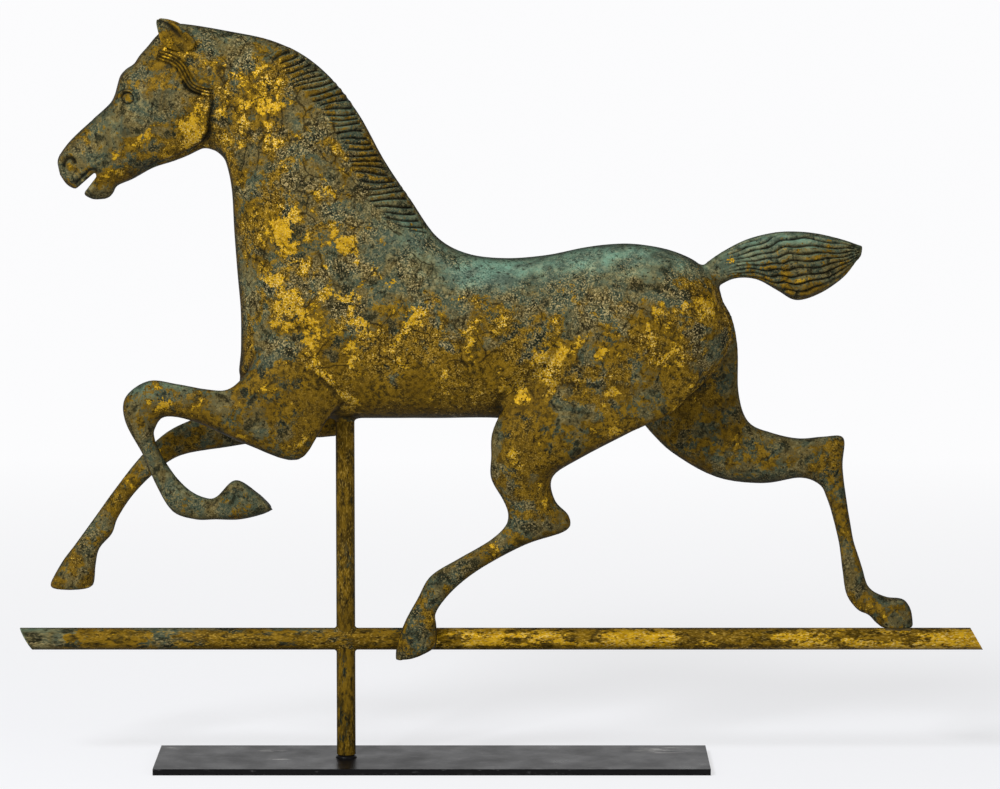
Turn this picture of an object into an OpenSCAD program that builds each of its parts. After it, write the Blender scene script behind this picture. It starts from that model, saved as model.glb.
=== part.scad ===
// Running horse weathervane: a hollow copper horse on a vertical sleeve tube with a
// crossbar, turning freely on a steel rod that is welded to a flat display plate.
// The origin is on the rod's axis at the underside of the plate. The horse faces -X
// and +Z is up, so the rod's axis is Z and the side seen from -Y is the near side.

/* [Stand] */
// Length of the base plate
plate_length = 559; // [520:1:620]
// Depth of the base plate
plate_depth = 127; // [120:1:160]
// Thickness of the base plate
plate_thickness = 6.35; // [5:0.05:10]
// Distance from the rod to the plate's end under the horse's head
plate_head_reach = 192; // [170:1:230]
// Diameter of the spindle rod
rod_diameter = 12.7; // [11:0.1:13]
// Height of the weld bead on the plate
weld_height = 3.2; // [2:0.1:5]
// Width of the weld bead around the rod
weld_width = 4.4; // [3:0.1:5]

/* [Sleeve] */
// Outside diameter of the sleeve tube
sleeve_diameter = 19; // [18:0.1:19.4]
// Wall of the sleeve tube
sleeve_wall = 1.6; // [1.2:0.1:2]
// Height that the sleeve reaches inside the horse above the belly
sleeve_reach = 150; // [100:1:200]
// Length of the lower guide bush
bush_length = 30; // [15:1:50]
// Depth that the rod's tip sits in the pivot cap
pivot_depth = 14; // [8:1:20]
// Thickness of the pivot cap over the rod's tip
pivot_roof = 8; // [4:1:15]
// Running clearance on the rod, measured on the radius
running_clearance = 0.05; // [0.02:0.01:0.1]
// Gap between pieces that are soldered together
solder_gap = 0.3; // [0.2:0.05:0.5]

/* [Crossbar] */
// Height of the crossbar's axis over the plate's underside
crossbar_height = 128; // [90:1:180]
// Outside diameter of the crossbar
crossbar_diameter = 22.2; // [21.8:0.1:25]
// Wall of the crossbar
crossbar_wall = 1.4; // [1:0.1:1.5]
// Reach of the crossbar's axis from the sleeve towards the head
crossbar_head_reach = 323; // [280:1:360]
// Reach of the crossbar's axis from the sleeve towards the tail
crossbar_tail_reach = 638; // [600:1:680]
// Angle of the two sawn ends, leaning from square
crossbar_cut_angle = 30; // [0:1:40]
// Thickness of the soldered end caps
crossbar_cap = 1.5; // [1:0.1:3]
// Size of the solder fillet where the tubes cross
crossing_fillet = 3; // [2:0.1:5]

/* [Horse] */
// Thickness of the horse's copper sheet
sheet = 0.8; // [0.6:0.1:1.2]
// Angle steps round a body half, from crest to belly
body_turns = 16; // [10:1:20]
// Angle steps round a leg half
leg_turns = 10; // [6:1:12]
// Angle steps round an ear
ear_turns = 12; // [8:1:16]
// Height of the belly over the crossbar's axis
belly_height = 225; // [215:1:240]
// Outside diameter of the solder collar under the belly
collar_diameter = 25; // [23:0.5:30]
// Height of the collar's outer rim
collar_rim = 1; // [0.5:0.1:1.5]
// Width of the solder at the two hind hooves
hoof_solder_width = 12; // [8:1:16]
// Height of the solder pad behind the near hind hoof
hoof_solder_height = 8; // [6:1:12]
// Distance from the far hind hoof's edges to the solder under it
hoof_solder_margin = 3; // [1:1:6]
// Width of the brace strip inside the horse
brace_width = 26; // [24:1:40]
// Thickness of the brace strip inside the horse
brace_thickness = 2; // [1:0.1:4]

/* [Hidden] */
$fn = 64;

// Sign of y on each side of the horse
near = -1;
far = 1;
// Steps that the stretch between two ribs is divided into
smooth_steps = 2;
// Radius of the body's side under the legs, for the sag of the flat facets laid on it
side_radius = 45;
// How much nearer the hip or shoulder a leg looks up the body's width as well
edge_margin = 14;
// Allowance for the sag of the facets between two ribs
rib_sag = 0.5;
// How far a cutting shape passes the face that it cuts
overcut = 1;

rod_radius = rod_diameter / 2;
sleeve_radius = sleeve_diameter / 2;
sleeve_bore = sleeve_diameter - 2 * sleeve_wall;
crossbar_radius = crossbar_diameter / 2;
crossbar_bore = crossbar_diameter - 2 * crossbar_wall;
sleeve_foot = plate_thickness + weld_height + solder_gap;
sleeve_top = crossbar_height + belly_height + sleeve_reach;
rod_top = sleeve_top - pivot_roof - running_clearance;
far_hoof_sole = crossbar_radius + solder_gap;

// The horse's ribs are slices from its upper outline to its lower outline. Each rib
// is [upper x, upper z, lower x, lower z, middle y, half width], in millimetres from
// the sleeve's axis and over the crossbar's axis.
body_ribs = [
    // Muzzle, chin and face
    [-286, 486, -281, 469, 0, 8],
    [-282, 492, -269, 456, 0, 14],
    [-272, 505, -247, 446, 0, 16],
    [-259, 518, -231, 456, 0, 17],
    [-246, 529, -216, 465, 0, 20],
    [-234, 542, -194, 477, 0, 24],
    // Cheek, poll and throat
    [-226, 562, -166, 485, 0, 29],
    [-208, 584, -141, 496, 0, 32],
    [-183, 611, -127, 494, 0, 31],
    [-153, 619, -116, 481, 0, 30],
    // Neck, from the crest to the breast
    [-113, 612, -112, 454, 0, 31],
    [-73, 603, -110, 414, 0, 35],
    [-39, 588, -107, 371, 0, 40],
    [-10, 563, -104, 333, 0, 45],
    [16, 528, -104, 295, 0, 49],
    [40, 484, -105, 258, 0, 52],
    // Withers and brisket
    [66, 445, -83, belly_height + 3, 0, 55],
    [92, 408, -33, belly_height, 0, 57],
    // Back and belly
    [122, 391, 25, belly_height, 0, 58],
    [160, 386, 92, belly_height, 0, 58],
    [202, 389, 156, belly_height, 0, 55],
    // Croup, stifle and buttock
    [242, 397, 212, belly_height - 7, 0, 56],
    [278, 401, 267, belly_height - 13, 0, 58],
    [314, 397, 309, 224, 0, 54],
    [340, 389, 351, 251, 0, 44],
    [358, 378, 379, 283, 0, 30],
    [375, 358, 389, 309, 0, 12],
];

near_foreleg_ribs = [
    // Shoulder, from its root on the body's side, and forearm
    [-36, 334, -8, 324, -34, 8],
    [-58, 318, 6, 290, -34, 12],
    [-82, 297, 2, 256, -34, 16],
    [-99, 272, -20, 222, -37, 18],
    [-116, 258, -46, 187, -37, 18],
    [-137, 258, -96, 202, -36, 16],
    [-167, 263, -146, 224, -33, 14],
    // Knee, folded
    [-195, 266, -178, 230, -32, 14],
    [-218, 250, -189, 218, -31, 14],
    [-219, 226, -189, 207, -31, 12],
    [-202, 192, -183, 192, -31, 9],
    [-187, 158, -169, 170, -30, 8],
    // Fetlock, pastern and hoof
    [-172, 134, -154, 155, -30, 10],
    [-149, 126, -139, 148, -30, 9],
    [-129, 126, -128, 149, -30, 9],
    [-105, 126, -109, 166, -30, 15],
    [-83, 131, -87, 153, -30, 14],
    [-72, 136, -76, 142, -30, 9],
];

far_foreleg_ribs = [
    // Shoulder, from its root on the body's side, and forearm
    [-38, 330, -10, 318, 34, 8],
    [-62, 312, 8, 280, 34, 12],
    [-90, 286, 9, 240, 34, 16],
    [-109, 255, -1, 205, 37, 17],
    [-126, 238, -67, 199, 37, 16],
    [-148, 223, -120, 191, 36, 14],
    [-181, 207, -167, 183, 33, 12],
    [-209, 181, -193, 166, 32, 10],
    [-235, 148, -216, 143, 31, 9],
    [-253, 123, -232, 119, 31, 9],
    // Fetlock, pastern and hoof
    [-266, 105, -238, 103, 31, 11],
    [-277, 90, -251, 88, 31, 10],
    [-289, 74, -255, 71, 31, 14],
    [-301, 52, -257, 52, 31, 17],
    [-298, 47, -263, 47, 31, 15],
];

near_hindleg_ribs = [
    // Thigh, from its root on the body's side, and gaskin
    [240, 322, 318, 312, -34, 8],
    [208, 300, 356, 276, -34, 12],
    [170, 256, 331, 240, -38, 18],
    [149, 218, 289, 217, -40, 21],
    [147, 190, 238, 190, -38, 21],
    [147, 168, 209, 170, -35, 18],
    [159, 146, 211, 146, -34, 14],
    // Hock and cannon
    [164, 131, 225, 130, -33, 14],
    [160, 118, 222, 115, -32, 13],
    [143, 103, 182, 101, -31, 11],
    [114, 86, 138, 77, -29, 9],
    [86, 68, 110, 55, -27, 10],
    // Pastern and hoof
    [73, 45, 92, 32, -26, 10],
    [60, 21, 92, 17, -26, 12],
    [52, -2, 91, -3, -27, 14],
    [51, -17, 75, -13, -27, 12],
];

far_hindleg_ribs = [
    // Thigh, from its root on the body's side, and gaskin
    [374, 350, 304, 332, 34, 8],
    [390, 324, 272, 296, 34, 12],
    [397, 290, 276, 252, 42, 18],
    [398, 246, 303, 212, 44, 20],
    [408, 216, 330, 185, 42, 22],
    [432, 205, 375, 160, 39, 22],
    [460, 200, 422, 154, 35, 20],
    // Hock and cannon
    [484, 202, 460, 160, 32, 16],
    [504, 201, 480, 153, 30, 14],
    [503, 172, 487, 140, 28, 12],
    [508, 133, 492, 125, 25, 9],
    [514, 101, 499, 96, 22, 9],
    // Fetlock and hoof
    [523, 70, 503, 67, 18, 10],
    [530, 50, 507, 43, 15, 10],
    [547, 41, 518, 28, 12, 12],
    [564, 39, 529, 23, 9, 14],
    [572, 28, 536, 16, 7, 15],
    [574, far_hoof_sole, 542, far_hoof_sole, 6, 15],
];

tail_ribs = [
    // Root, end on against the croup
    [358.5, 378.5, 375.5, 358.5, 0, 8],
    [378, 392, 392, 366, 0, 11],
    [401, 404, 413, 365, 0, 14],
    [426, 411, 434, 354, 0, 18],
    [446, 413, 453, 344, 0, 19],
    [472, 411, 477, 351, 0, 18],
    [498, 405, 500, 368, 0, 13],
    [515, 399, 514, 388, 0, 6],
];

// An ear's middle y counts from the head's side at its base
ear_ribs = [
    [-183, 625, -180, 626, -4, 2],
    [-182, 615, -167, 622, 1, 4],
    [-179, 605, -153, 611, 4, 5],
    [-173, 595, -146, 599, 6.5, 6],
];

mouth_outline = [[-275, 450], [-249, 473], [-246, 472], [-246, 469], [-262, 449]];

// Point at share t of the smooth curve through b and c, with neighbours a and d
function curve(a, b, c, d, t) =
    0.5 * (2 * b + (c - a) * t
        + (2 * a - 5 * b + 4 * c - d) * pow(t, 2)
        + (3 * b - a - 3 * c + d) * pow(t, 3));

// Ribs with others put between them along smooth curves
function smooth(ribs) = [
    for (i = [0 : len(ribs) - 2], step = [0 : smooth_steps - 1])
        curve(
            ribs[max(i - 1, 0)], ribs[i], ribs[i + 1],
            ribs[min(i + 2, len(ribs) - 1)], step / smooth_steps
        ),
    ribs[len(ribs) - 1],
];

function upper(rib) = [rib[0], rib[1]];
function lower(rib) = [rib[2], rib[3]];
function middle(rib) = (upper(rib) + lower(rib)) / 2;

// A closed end's rib, moved one sheet thickness towards the next rib for the inside
function drawn_in(rib, next) = let(
    move = middle(next) - middle(rib),
    step = move * sheet / norm(move)
) rib + [step.x, step.y, step.x, step.y, 0, 0];

// Ribs of a shell's inside: its closed ends are drawn in, and an open root is not
function lined(skin, open_root) = [
    for (i = [0 : len(skin) - 1])
        i == 0 && !open_root ? drawn_in(skin[0], skin[1])
        : i == len(skin) - 1 ? drawn_in(skin[i], skin[i - 1])
        : skin[i],
];

// Angles round a half ring, from the upper seam to the lower seam
function half_turns(steps) = [for (k = [0 : steps]) 180 * k / steps];

// Half width of the horse's body at a point of its side view, 0 outside the outline
function width_in_cell(point, a, b) = let(
    axis_a = upper(a) - lower(a),
    axis_b = upper(b) - lower(b),
    off_a = cross(axis_a, point - lower(a)),
    off_b = cross(axis_b, point - lower(b)),
    share = off_a / (off_a - off_b),
    rib = a + (b - a) * share,
    half = (upper(rib) - lower(rib)) / 2,
    height = (point - middle(rib)) * half / (half * half)
) off_a * off_b > 0 || off_a == off_b || abs(height) >= 1 ? 0 : rib[5] * sqrt(1 - pow(height, 2));

body_skin = smooth(body_ribs);

function body_width(point) =
    max([for (i = [0 : len(body_skin) - 2]) width_in_cell(point, body_skin[i], body_skin[i + 1])]);

// How far a leg's flat facets cut inside the round side that they lie on, from their
// width along the rib and from the spacing of the ribs
function facet_sag(rib) = let(
    facet = norm(upper(rib) - lower(rib)) * sin(90 / leg_turns)
) pow(facet, 2) / (8 * side_radius) + rib_sag;

// One point of a rib's half ring: turn runs from 0 at the upper outline to 180 at the
// lower one, bulge is the side that it bulges to, and inset is measured in the sheet
function ring_point(rib, turn, bulge, inset) = let(
    half = (upper(rib) - lower(rib)) / 2,
    flat = middle(rib) + half * cos(turn) * (1 - inset / norm(half))
) [flat.x, rib[4] + bulge * (rib[5] - inset) * sin(turn), flat.y];

// The same point kept outside the body's side, for a leg soldered on it. The layer
// counts sheets from the body, with 0 for the surface that faces it. The width is also
// looked up a little nearer the hip or shoulder, so that the leg clears the body's edge.
function seated_point(rib, turn, bulge, inset, side, layer, joint) = let(
    point = ring_point(rib, turn, bulge, inset),
    flat = [point.x, point.z],
    inward = (joint - flat) / max(norm(joint - flat), 1),
    body = max(body_width(flat), body_width(flat + edge_margin * inward)),
    seat = body + solder_gap + facet_sag(rib) + sheet * layer
) body == 0 ? point : [point.x, side * max(side * point.y, seat), point.z];

// Which way round a shell's faces run: it depends on the side that it bulges to and on
// the way that its ribs follow each other
function runs_back(ribs, bulge) =
    cross(middle(ribs[1]) - middle(ribs[0]), upper(ribs[0]) - lower(ribs[0])) * bulge > 0;

// Closed half shell between an outer and an inner grid of points, as rows of equal
// length from the upper seam to the lower seam. The first row is left open as a lip
// or closed, and the last row is closed.
module half_shell(outer, inner, turned, open_root) {
    rows = len(outer);
    row = len(outer[0]);
    function out_at(i, k) = i * row + k;
    function in_at(i, k) = (rows + i) * row + k;
    function pair(a, b, c, d) = [[a, b, c], [a, c, d]];
    last = rows - 1;
    edge = row - 1;
    faces = [
        for (i = [0 : last - 1], k = [0 : edge - 1])
            each pair(out_at(i, k), out_at(i + 1, k), out_at(i + 1, k + 1), out_at(i, k + 1)),
        for (i = [0 : last - 1], k = [0 : edge - 1])
            each pair(in_at(i, k), in_at(i, k + 1), in_at(i + 1, k + 1), in_at(i + 1, k)),
        for (i = [0 : last - 1])
            each pair(out_at(i, 0), in_at(i, 0), in_at(i + 1, 0), out_at(i + 1, 0)),
        for (i = [0 : last - 1])
            each pair(out_at(i, edge), out_at(i + 1, edge), in_at(i + 1, edge), in_at(i, edge)),
        each closed_end(last, false),
        each open_root ? open_end() : closed_end(0, true),
    ];
    function closed_end(i, at_root) = let(
        cap = [for (k = [0 : edge]) out_at(i, k)],
        inside = [for (k = [edge : -1 : 0]) in_at(i, k)],
        seam = pair(out_at(i, 0), out_at(i, edge), in_at(i, edge), in_at(i, 0))
    ) [for (face = [cap, inside, each seam]) at_root ? face : reversed(face)];
    function open_end() = [
        for (k = [0 : edge - 1])
            each pair(out_at(0, k), out_at(0, k + 1), in_at(0, k + 1), in_at(0, k)),
    ];
    polyhedron(
        concat([for (r = outer) each r], [for (r = inner) each r]),
        turned ? [for (face = faces) reversed(face)] : faces
    );
}

function reversed(list) = [for (i = [len(list) - 1 : -1 : 0]) list[i]];

// Everything of the horse is drawn from the crossbar's axis upwards
module over_crossbar() {
    translate([0, 0, crossbar_height])
        children();
}

// Half of the body, split along the middle from nose to buttock
module body_shell(bulge) {
    turns = half_turns(body_turns);
    color("goldenrod")
    over_crossbar()
    difference() {
        half_shell(
            [for (rib = body_skin) [for (turn = turns) ring_point(rib, turn, bulge, 0)]],
            [for (rib = lined(body_skin, false)) [
                for (turn = turns) ring_point(rib, turn, bulge, sheet),
            ]],
            runs_back(body_skin, bulge), false
        );
        mouth_cut();
        translate([0, 0, belly_height - sleeve_diameter])
            cylinder(r = sleeve_radius + solder_gap, h = 2 * sleeve_diameter);
    }
}

// Wedge between the lips, right across the muzzle
module mouth_cut() {
    widest = max([for (rib = body_ribs) rib[5]]);
    rotate([90, 0, 0])
        linear_extrude(2 * widest + 2 * overcut, center = true)
            polygon(mouth_outline);
}

// Half of a leg: side is the side of the body that it is soldered to, and bulge the
// way that this half bulges
module leg_shell(ribs, side, bulge) {
    skin = smooth(ribs);
    turns = half_turns(leg_turns);
    outside = bulge == side;
    joint = middle(ribs[0]);
    half_shell(
        [for (rib = skin) [
            for (turn = turns)
                let(seam = turn == 0 || turn == 180)
                seated_point(rib, turn, bulge, 0, side, seam ? 1 : outside ? 2 : 0, joint),
        ]],
        [for (rib = lined(skin, true)) [
            for (turn = turns) seated_point(rib, turn, bulge, sheet, side, 1, joint),
        ]],
        runs_back(skin, bulge), true
    );
}

// Flat steel with a hole for the rod
module base_plate() {
    color("#232124")
    difference() {
        translate([-plate_head_reach, -plate_depth / 2, 0])
            cube([plate_length, plate_depth, plate_thickness]);
        translate([0, 0, -overcut])
            cylinder(d = rod_diameter, h = plate_thickness + 2 * overcut);
    }
}

// Rod with a rounded tip, standing in the hole through the plate
module spindle_rod() {
    color("#3a3634")
    rotate_extrude()
        intersection() {
            square([rod_radius, rod_top]);
            union() {
                square([rod_radius, rod_top - rod_radius]);
                translate([0, rod_top - rod_radius])
                    circle(rod_radius);
            }
        }
}

module rod_weld() {
    color("#1c1a1a")
    rotate_extrude()
        translate([rod_radius, plate_thickness])
            scale([weld_width, weld_height])
                intersection() {
                    square(1);
                    circle(1);
                }
}

module sleeve_tube() {
    color("#8a6a1c")
    difference() {
        translate([0, 0, sleeve_foot])
            cylinder(d = sleeve_diameter, h = sleeve_top - sleeve_foot);
        translate([0, 0, sleeve_foot - overcut])
            cylinder(d = sleeve_bore, h = sleeve_top - sleeve_foot + 2 * overcut);
    }
}

// Bush pressed into the foot of the sleeve, running on the rod
module guide_bush() {
    color("#b08d3a")
    difference() {
        translate([0, 0, sleeve_foot])
            cylinder(d = sleeve_bore, h = bush_length);
        translate([0, 0, sleeve_foot - overcut])
            cylinder(r = rod_radius + running_clearance, h = bush_length + 2 * overcut);
    }
}

// Plug in the top of the sleeve that carries the vane on the rod's tip
module pivot_cap() {
    color("#b08d3a")
    difference() {
        translate([0, 0, sleeve_top - pivot_roof - pivot_depth])
            cylinder(d = sleeve_bore, h = pivot_roof + pivot_depth);
        translate([0, 0, sleeve_top - pivot_roof - pivot_depth - overcut])
            cylinder(r = rod_radius + running_clearance, h = pivot_depth + overcut);
    }
}

// Strip across the inside of the horse that steadies the top of the sleeve
module sleeve_brace() {
    level = belly_height + sleeve_reach - brace_width;
    reach = min([
        for (x = [-brace_width / 2, brace_width / 2], z = [level, level + brace_thickness])
            body_width([x, z]),
    ]) - sheet - solder_gap;
    color("#7c5b2a")
    over_crossbar()
    difference() {
        translate([-brace_width / 2, -reach, level])
            cube([brace_width, 2 * reach, brace_thickness]);
        translate([0, 0, level - overcut])
            cylinder(d = sleeve_diameter, h = brace_thickness + 2 * overcut);
    }
}

// Ring of solder under the belly, round the sleeve
module belly_collar() {
    reach = collar_diameter / 2;
    drop = reach - sleeve_radius;
    color("#4a3d28")
    over_crossbar()
    rotate_extrude()
        polygon([
            [sleeve_radius, belly_height - solder_gap],
            [reach, belly_height - solder_gap],
            [reach, belly_height - solder_gap - collar_rim],
            [sleeve_radius, belly_height - solder_gap - drop],
        ]);
}

// Rod along the crossbar's line, sawn off at both ends by the same angle. The ends can
// be drawn in by a distance along the axis.
module sawn_bar(diameter, head_end, tail_end) {
    lean = tan(crossbar_cut_angle) * crossbar_diameter;
    intersection() {
        translate([-head_end - lean, 0, crossbar_height])
            rotate([0, 90, 0])
                cylinder(d = diameter, h = head_end + tail_end + 2 * lean);
        translate([0, crossbar_diameter, crossbar_height])
            rotate([90, 0, 0])
                linear_extrude(2 * crossbar_diameter)
                    polygon([
                        [-head_end - lean, crossbar_diameter],
                        [-head_end + lean, -crossbar_diameter],
                        [tail_end + lean, -crossbar_diameter],
                        [tail_end - lean, crossbar_diameter],
                    ]);
    }
}

// Tube with a hole down through it for the sleeve
module crossbar_tube() {
    head_end = crossbar_head_reach - crossbar_cap;
    tail_end = crossbar_tail_reach - crossbar_cap;
    color("#a8821e")
    difference() {
        sawn_bar(crossbar_diameter, head_end, tail_end);
        translate([-head_end - crossbar_diameter, 0, crossbar_height])
            rotate([0, 90, 0])
                cylinder(d = crossbar_bore, h = head_end + tail_end + 2 * crossbar_diameter);
        translate([0, 0, crossbar_height - crossbar_diameter])
            cylinder(r = sleeve_radius + solder_gap / 2, h = 2 * crossbar_diameter);
    }
}

module crossbar_head_cap() {
    color("#44584e")
    sawn_bar(crossbar_diameter, crossbar_head_reach, -crossbar_head_reach + crossbar_cap);
}

module crossbar_tail_cap() {
    color("#7d6420")
    sawn_bar(crossbar_diameter, -crossbar_tail_reach + crossbar_cap, crossbar_tail_reach);
}

// Solder fillets above and below the crossbar, round the sleeve
module crossing_solder() {
    reach = sleeve_radius + crossing_fillet;
    rise = crossbar_radius + crossing_fillet;
    slope = crossing_fillet / 3;
    color("#3d3a2c")
    difference() {
        for (way = [-1, 1])
            translate([0, 0, crossbar_height])
                mirror([0, 0, way < 0 ? 1 : 0])
                    rotate_extrude()
                        polygon([
                            [sleeve_radius, crossbar_radius / 2],
                            [reach, crossbar_radius / 2],
                            [reach, rise - 2 * slope],
                            [sleeve_radius + slope / 2, rise],
                            [sleeve_radius, rise],
                        ]);
        translate([-2 * reach, 0, crossbar_height])
            rotate([0, 90, 0])
                cylinder(d = crossbar_diameter, h = 4 * reach);
    }
}

// Solder that holds the two hind hooves: a saddle under one and a pad behind the other
module hoof_solder() {
    far_hoof = far_hindleg_ribs[len(far_hindleg_ribs) - 1];
    near_hoof = near_hindleg_ribs[len(near_hindleg_ribs) - 2];
    near_hoof_back = near_hoof[4] + near_hoof[5] + solder_gap;
    color("#3d3a2c")
    over_crossbar() {
        difference() {
            translate([far_hoof[2] + hoof_solder_margin, -hoof_solder_width / 2, 0])
                cube([
                    far_hoof[0] - far_hoof[2] - 2 * hoof_solder_margin,
                    hoof_solder_width,
                    far_hoof_sole,
                ]);
            translate([far_hoof[2], 0, 0])
                rotate([0, 90, 0])
                    cylinder(d = crossbar_diameter, h = far_hoof[0] - far_hoof[2]);
        }
        difference() {
            translate([
                middle(near_hoof).x - hoof_solder_width / 2, near_hoof_back, -hoof_solder_height / 2
            ])
                cube([hoof_solder_width, -near_hoof_back, hoof_solder_height]);
            translate([near_hoof[0], 0, 0])
                rotate([0, 90, 0])
                    cylinder(d = crossbar_diameter, h = near_hoof[2] - near_hoof[0]);
        }
    }
}

module body_near_shell() {
    body_shell(near);
}

module body_far_shell() {
    body_shell(far);
}

// Ear as a pointed leaf, closed all round, seated on the side of the head
module ear(side) {
    skin = smooth(ear_ribs);
    head = body_width(middle(ear_ribs[len(ear_ribs) - 1]));
    rings = [
        for (rib = skin) [
            for (k = [0 : ear_turns - 1])
                let(point = ring_point(rib, 360 * k / ear_turns, 1, 0))
                [point.x, side * (head + point.y), point.z],
        ],
    ];
    last = len(skin) - 1;
    faces = [
        for (i = [0 : last - 1], k = [0 : ear_turns - 1])
            let(next = (k + 1) % ear_turns)
            each [
                [i * ear_turns + k, i * ear_turns + next, (i + 1) * ear_turns + next],
                [i * ear_turns + k, (i + 1) * ear_turns + next, (i + 1) * ear_turns + k],
            ],
        [for (k = [ear_turns - 1 : -1 : 0]) k],
        [for (k = [0 : ear_turns - 1]) last * ear_turns + k],
    ];
    color("#6b5a2a")
    over_crossbar()
    polyhedron(
        [for (ring = rings) each ring],
        side > 0 ? faces : [for (face = faces) reversed(face)]
    );
}

module near_ear() {
    ear(near);
}

module far_ear() {
    ear(far);
}

module near_foreleg_outer() {
    color("#8f7a3a")
    over_crossbar()
    leg_shell(near_foreleg_ribs, near, near);
}

module near_foreleg_inner() {
    color("#7a6832")
    over_crossbar()
    leg_shell(near_foreleg_ribs, near, far);
}

module far_foreleg_outer() {
    color("#8f7a3a")
    over_crossbar()
    leg_shell(far_foreleg_ribs, far, far);
}

module far_foreleg_inner() {
    color("#7a6832")
    over_crossbar()
    leg_shell(far_foreleg_ribs, far, near);
}

module near_hindleg_outer() {
    color("#8f7a3a")
    over_crossbar()
    leg_shell(near_hindleg_ribs, near, near);
}

module near_hindleg_inner() {
    color("#7a6832")
    over_crossbar()
    leg_shell(near_hindleg_ribs, near, far);
}

module far_hindleg_outer() {
    color("#8f7a3a")
    over_crossbar()
    leg_shell(far_hindleg_ribs, far, far);
}

module far_hindleg_inner() {
    color("#7a6832")
    over_crossbar()
    leg_shell(far_hindleg_ribs, far, near);
}

// Half of the tail, soldered end on to the croup
module tail_shell(bulge) {
    skin = smooth(tail_ribs);
    turns = half_turns(leg_turns);
    color("#6d6a3c")
    over_crossbar()
    half_shell(
        [for (rib = skin) [for (turn = turns) ring_point(rib, turn, bulge, 0)]],
        [for (rib = lined(skin, true)) [
            for (turn = turns) ring_point(rib, turn, bulge, sheet),
        ]],
        runs_back(skin, bulge), true
    );
}

module tail_near_shell() {
    tail_shell(near);
}

module tail_far_shell() {
    tail_shell(far);
}

base_plate();
spindle_rod();
rod_weld();
sleeve_tube();
guide_bush();
pivot_cap();
sleeve_brace();
belly_collar();
crossbar_tube();
crossbar_head_cap();
crossbar_tail_cap();
crossing_solder();
hoof_solder();
body_near_shell();
body_far_shell();
near_ear();
far_ear();
near_foreleg_outer();
near_foreleg_inner();
far_foreleg_outer();
far_foreleg_inner();
near_hindleg_outer();
near_hindleg_inner();
far_hindleg_outer();
far_hindleg_inner();
tail_near_shell();
tail_far_shell();
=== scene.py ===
import math

import bmesh
import bpy
import numpy as np
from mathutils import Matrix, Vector


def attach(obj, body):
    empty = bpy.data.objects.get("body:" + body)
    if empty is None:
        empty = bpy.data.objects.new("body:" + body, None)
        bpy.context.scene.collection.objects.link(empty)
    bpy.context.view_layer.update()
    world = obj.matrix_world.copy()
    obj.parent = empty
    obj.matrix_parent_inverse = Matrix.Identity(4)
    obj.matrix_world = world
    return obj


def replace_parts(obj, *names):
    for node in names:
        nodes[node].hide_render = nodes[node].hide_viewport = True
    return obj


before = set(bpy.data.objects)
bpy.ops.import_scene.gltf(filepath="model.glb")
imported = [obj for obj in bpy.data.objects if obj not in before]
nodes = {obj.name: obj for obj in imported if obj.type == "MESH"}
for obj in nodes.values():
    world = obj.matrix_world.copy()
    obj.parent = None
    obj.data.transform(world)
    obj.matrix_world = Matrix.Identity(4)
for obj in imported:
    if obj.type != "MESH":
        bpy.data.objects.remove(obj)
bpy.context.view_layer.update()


# The base plate is a flat of mild steel, sheared to length, blackened with a hot
# oxide and waxed. The oxide is near black seen square on and turns grey at a low
# angle, where the wax shines. Fine scuffs run across its top.

def to_linear(code):
    """An sRGB hex value as a linear colour."""
    parts = [int(code[i:i + 2], 16) / 255 for i in (1, 3, 5)]
    return [p / 12.92 if p <= 0.04045 else ((p + 0.055) / 1.055) ** 2.4 for p in parts] + [1.0]


def add_node(tree, kind, inputs=None, out=None, **settings):
    """Adds a shader node with these settings, its inputs set to values or linked to other
    outputs, and gives back its output of this name, or else its first one in use."""
    node = tree.nodes.new(kind)
    for name, value in settings.items():
        setattr(node, name, value)
    for place, value in (inputs or {}).items():
        if isinstance(value, bpy.types.NodeSocket):
            tree.links.new(value, node.inputs[place])
        else:
            node.inputs[place].default_value = value
    if out:
        return node.outputs[out]
    return next((output for output in node.outputs if output.enabled), None)


def start_material(name):
    """An empty material and its node tree."""
    material = bpy.data.materials.new(name)
    material.use_nodes = True
    material.node_tree.nodes.clear()
    return material, material.node_tree


def finish_node(name, material):
    """Gives every slot of a carried-over CAD node this material."""
    for slot in nodes[name].material_slots:
        slot.material = material


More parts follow.
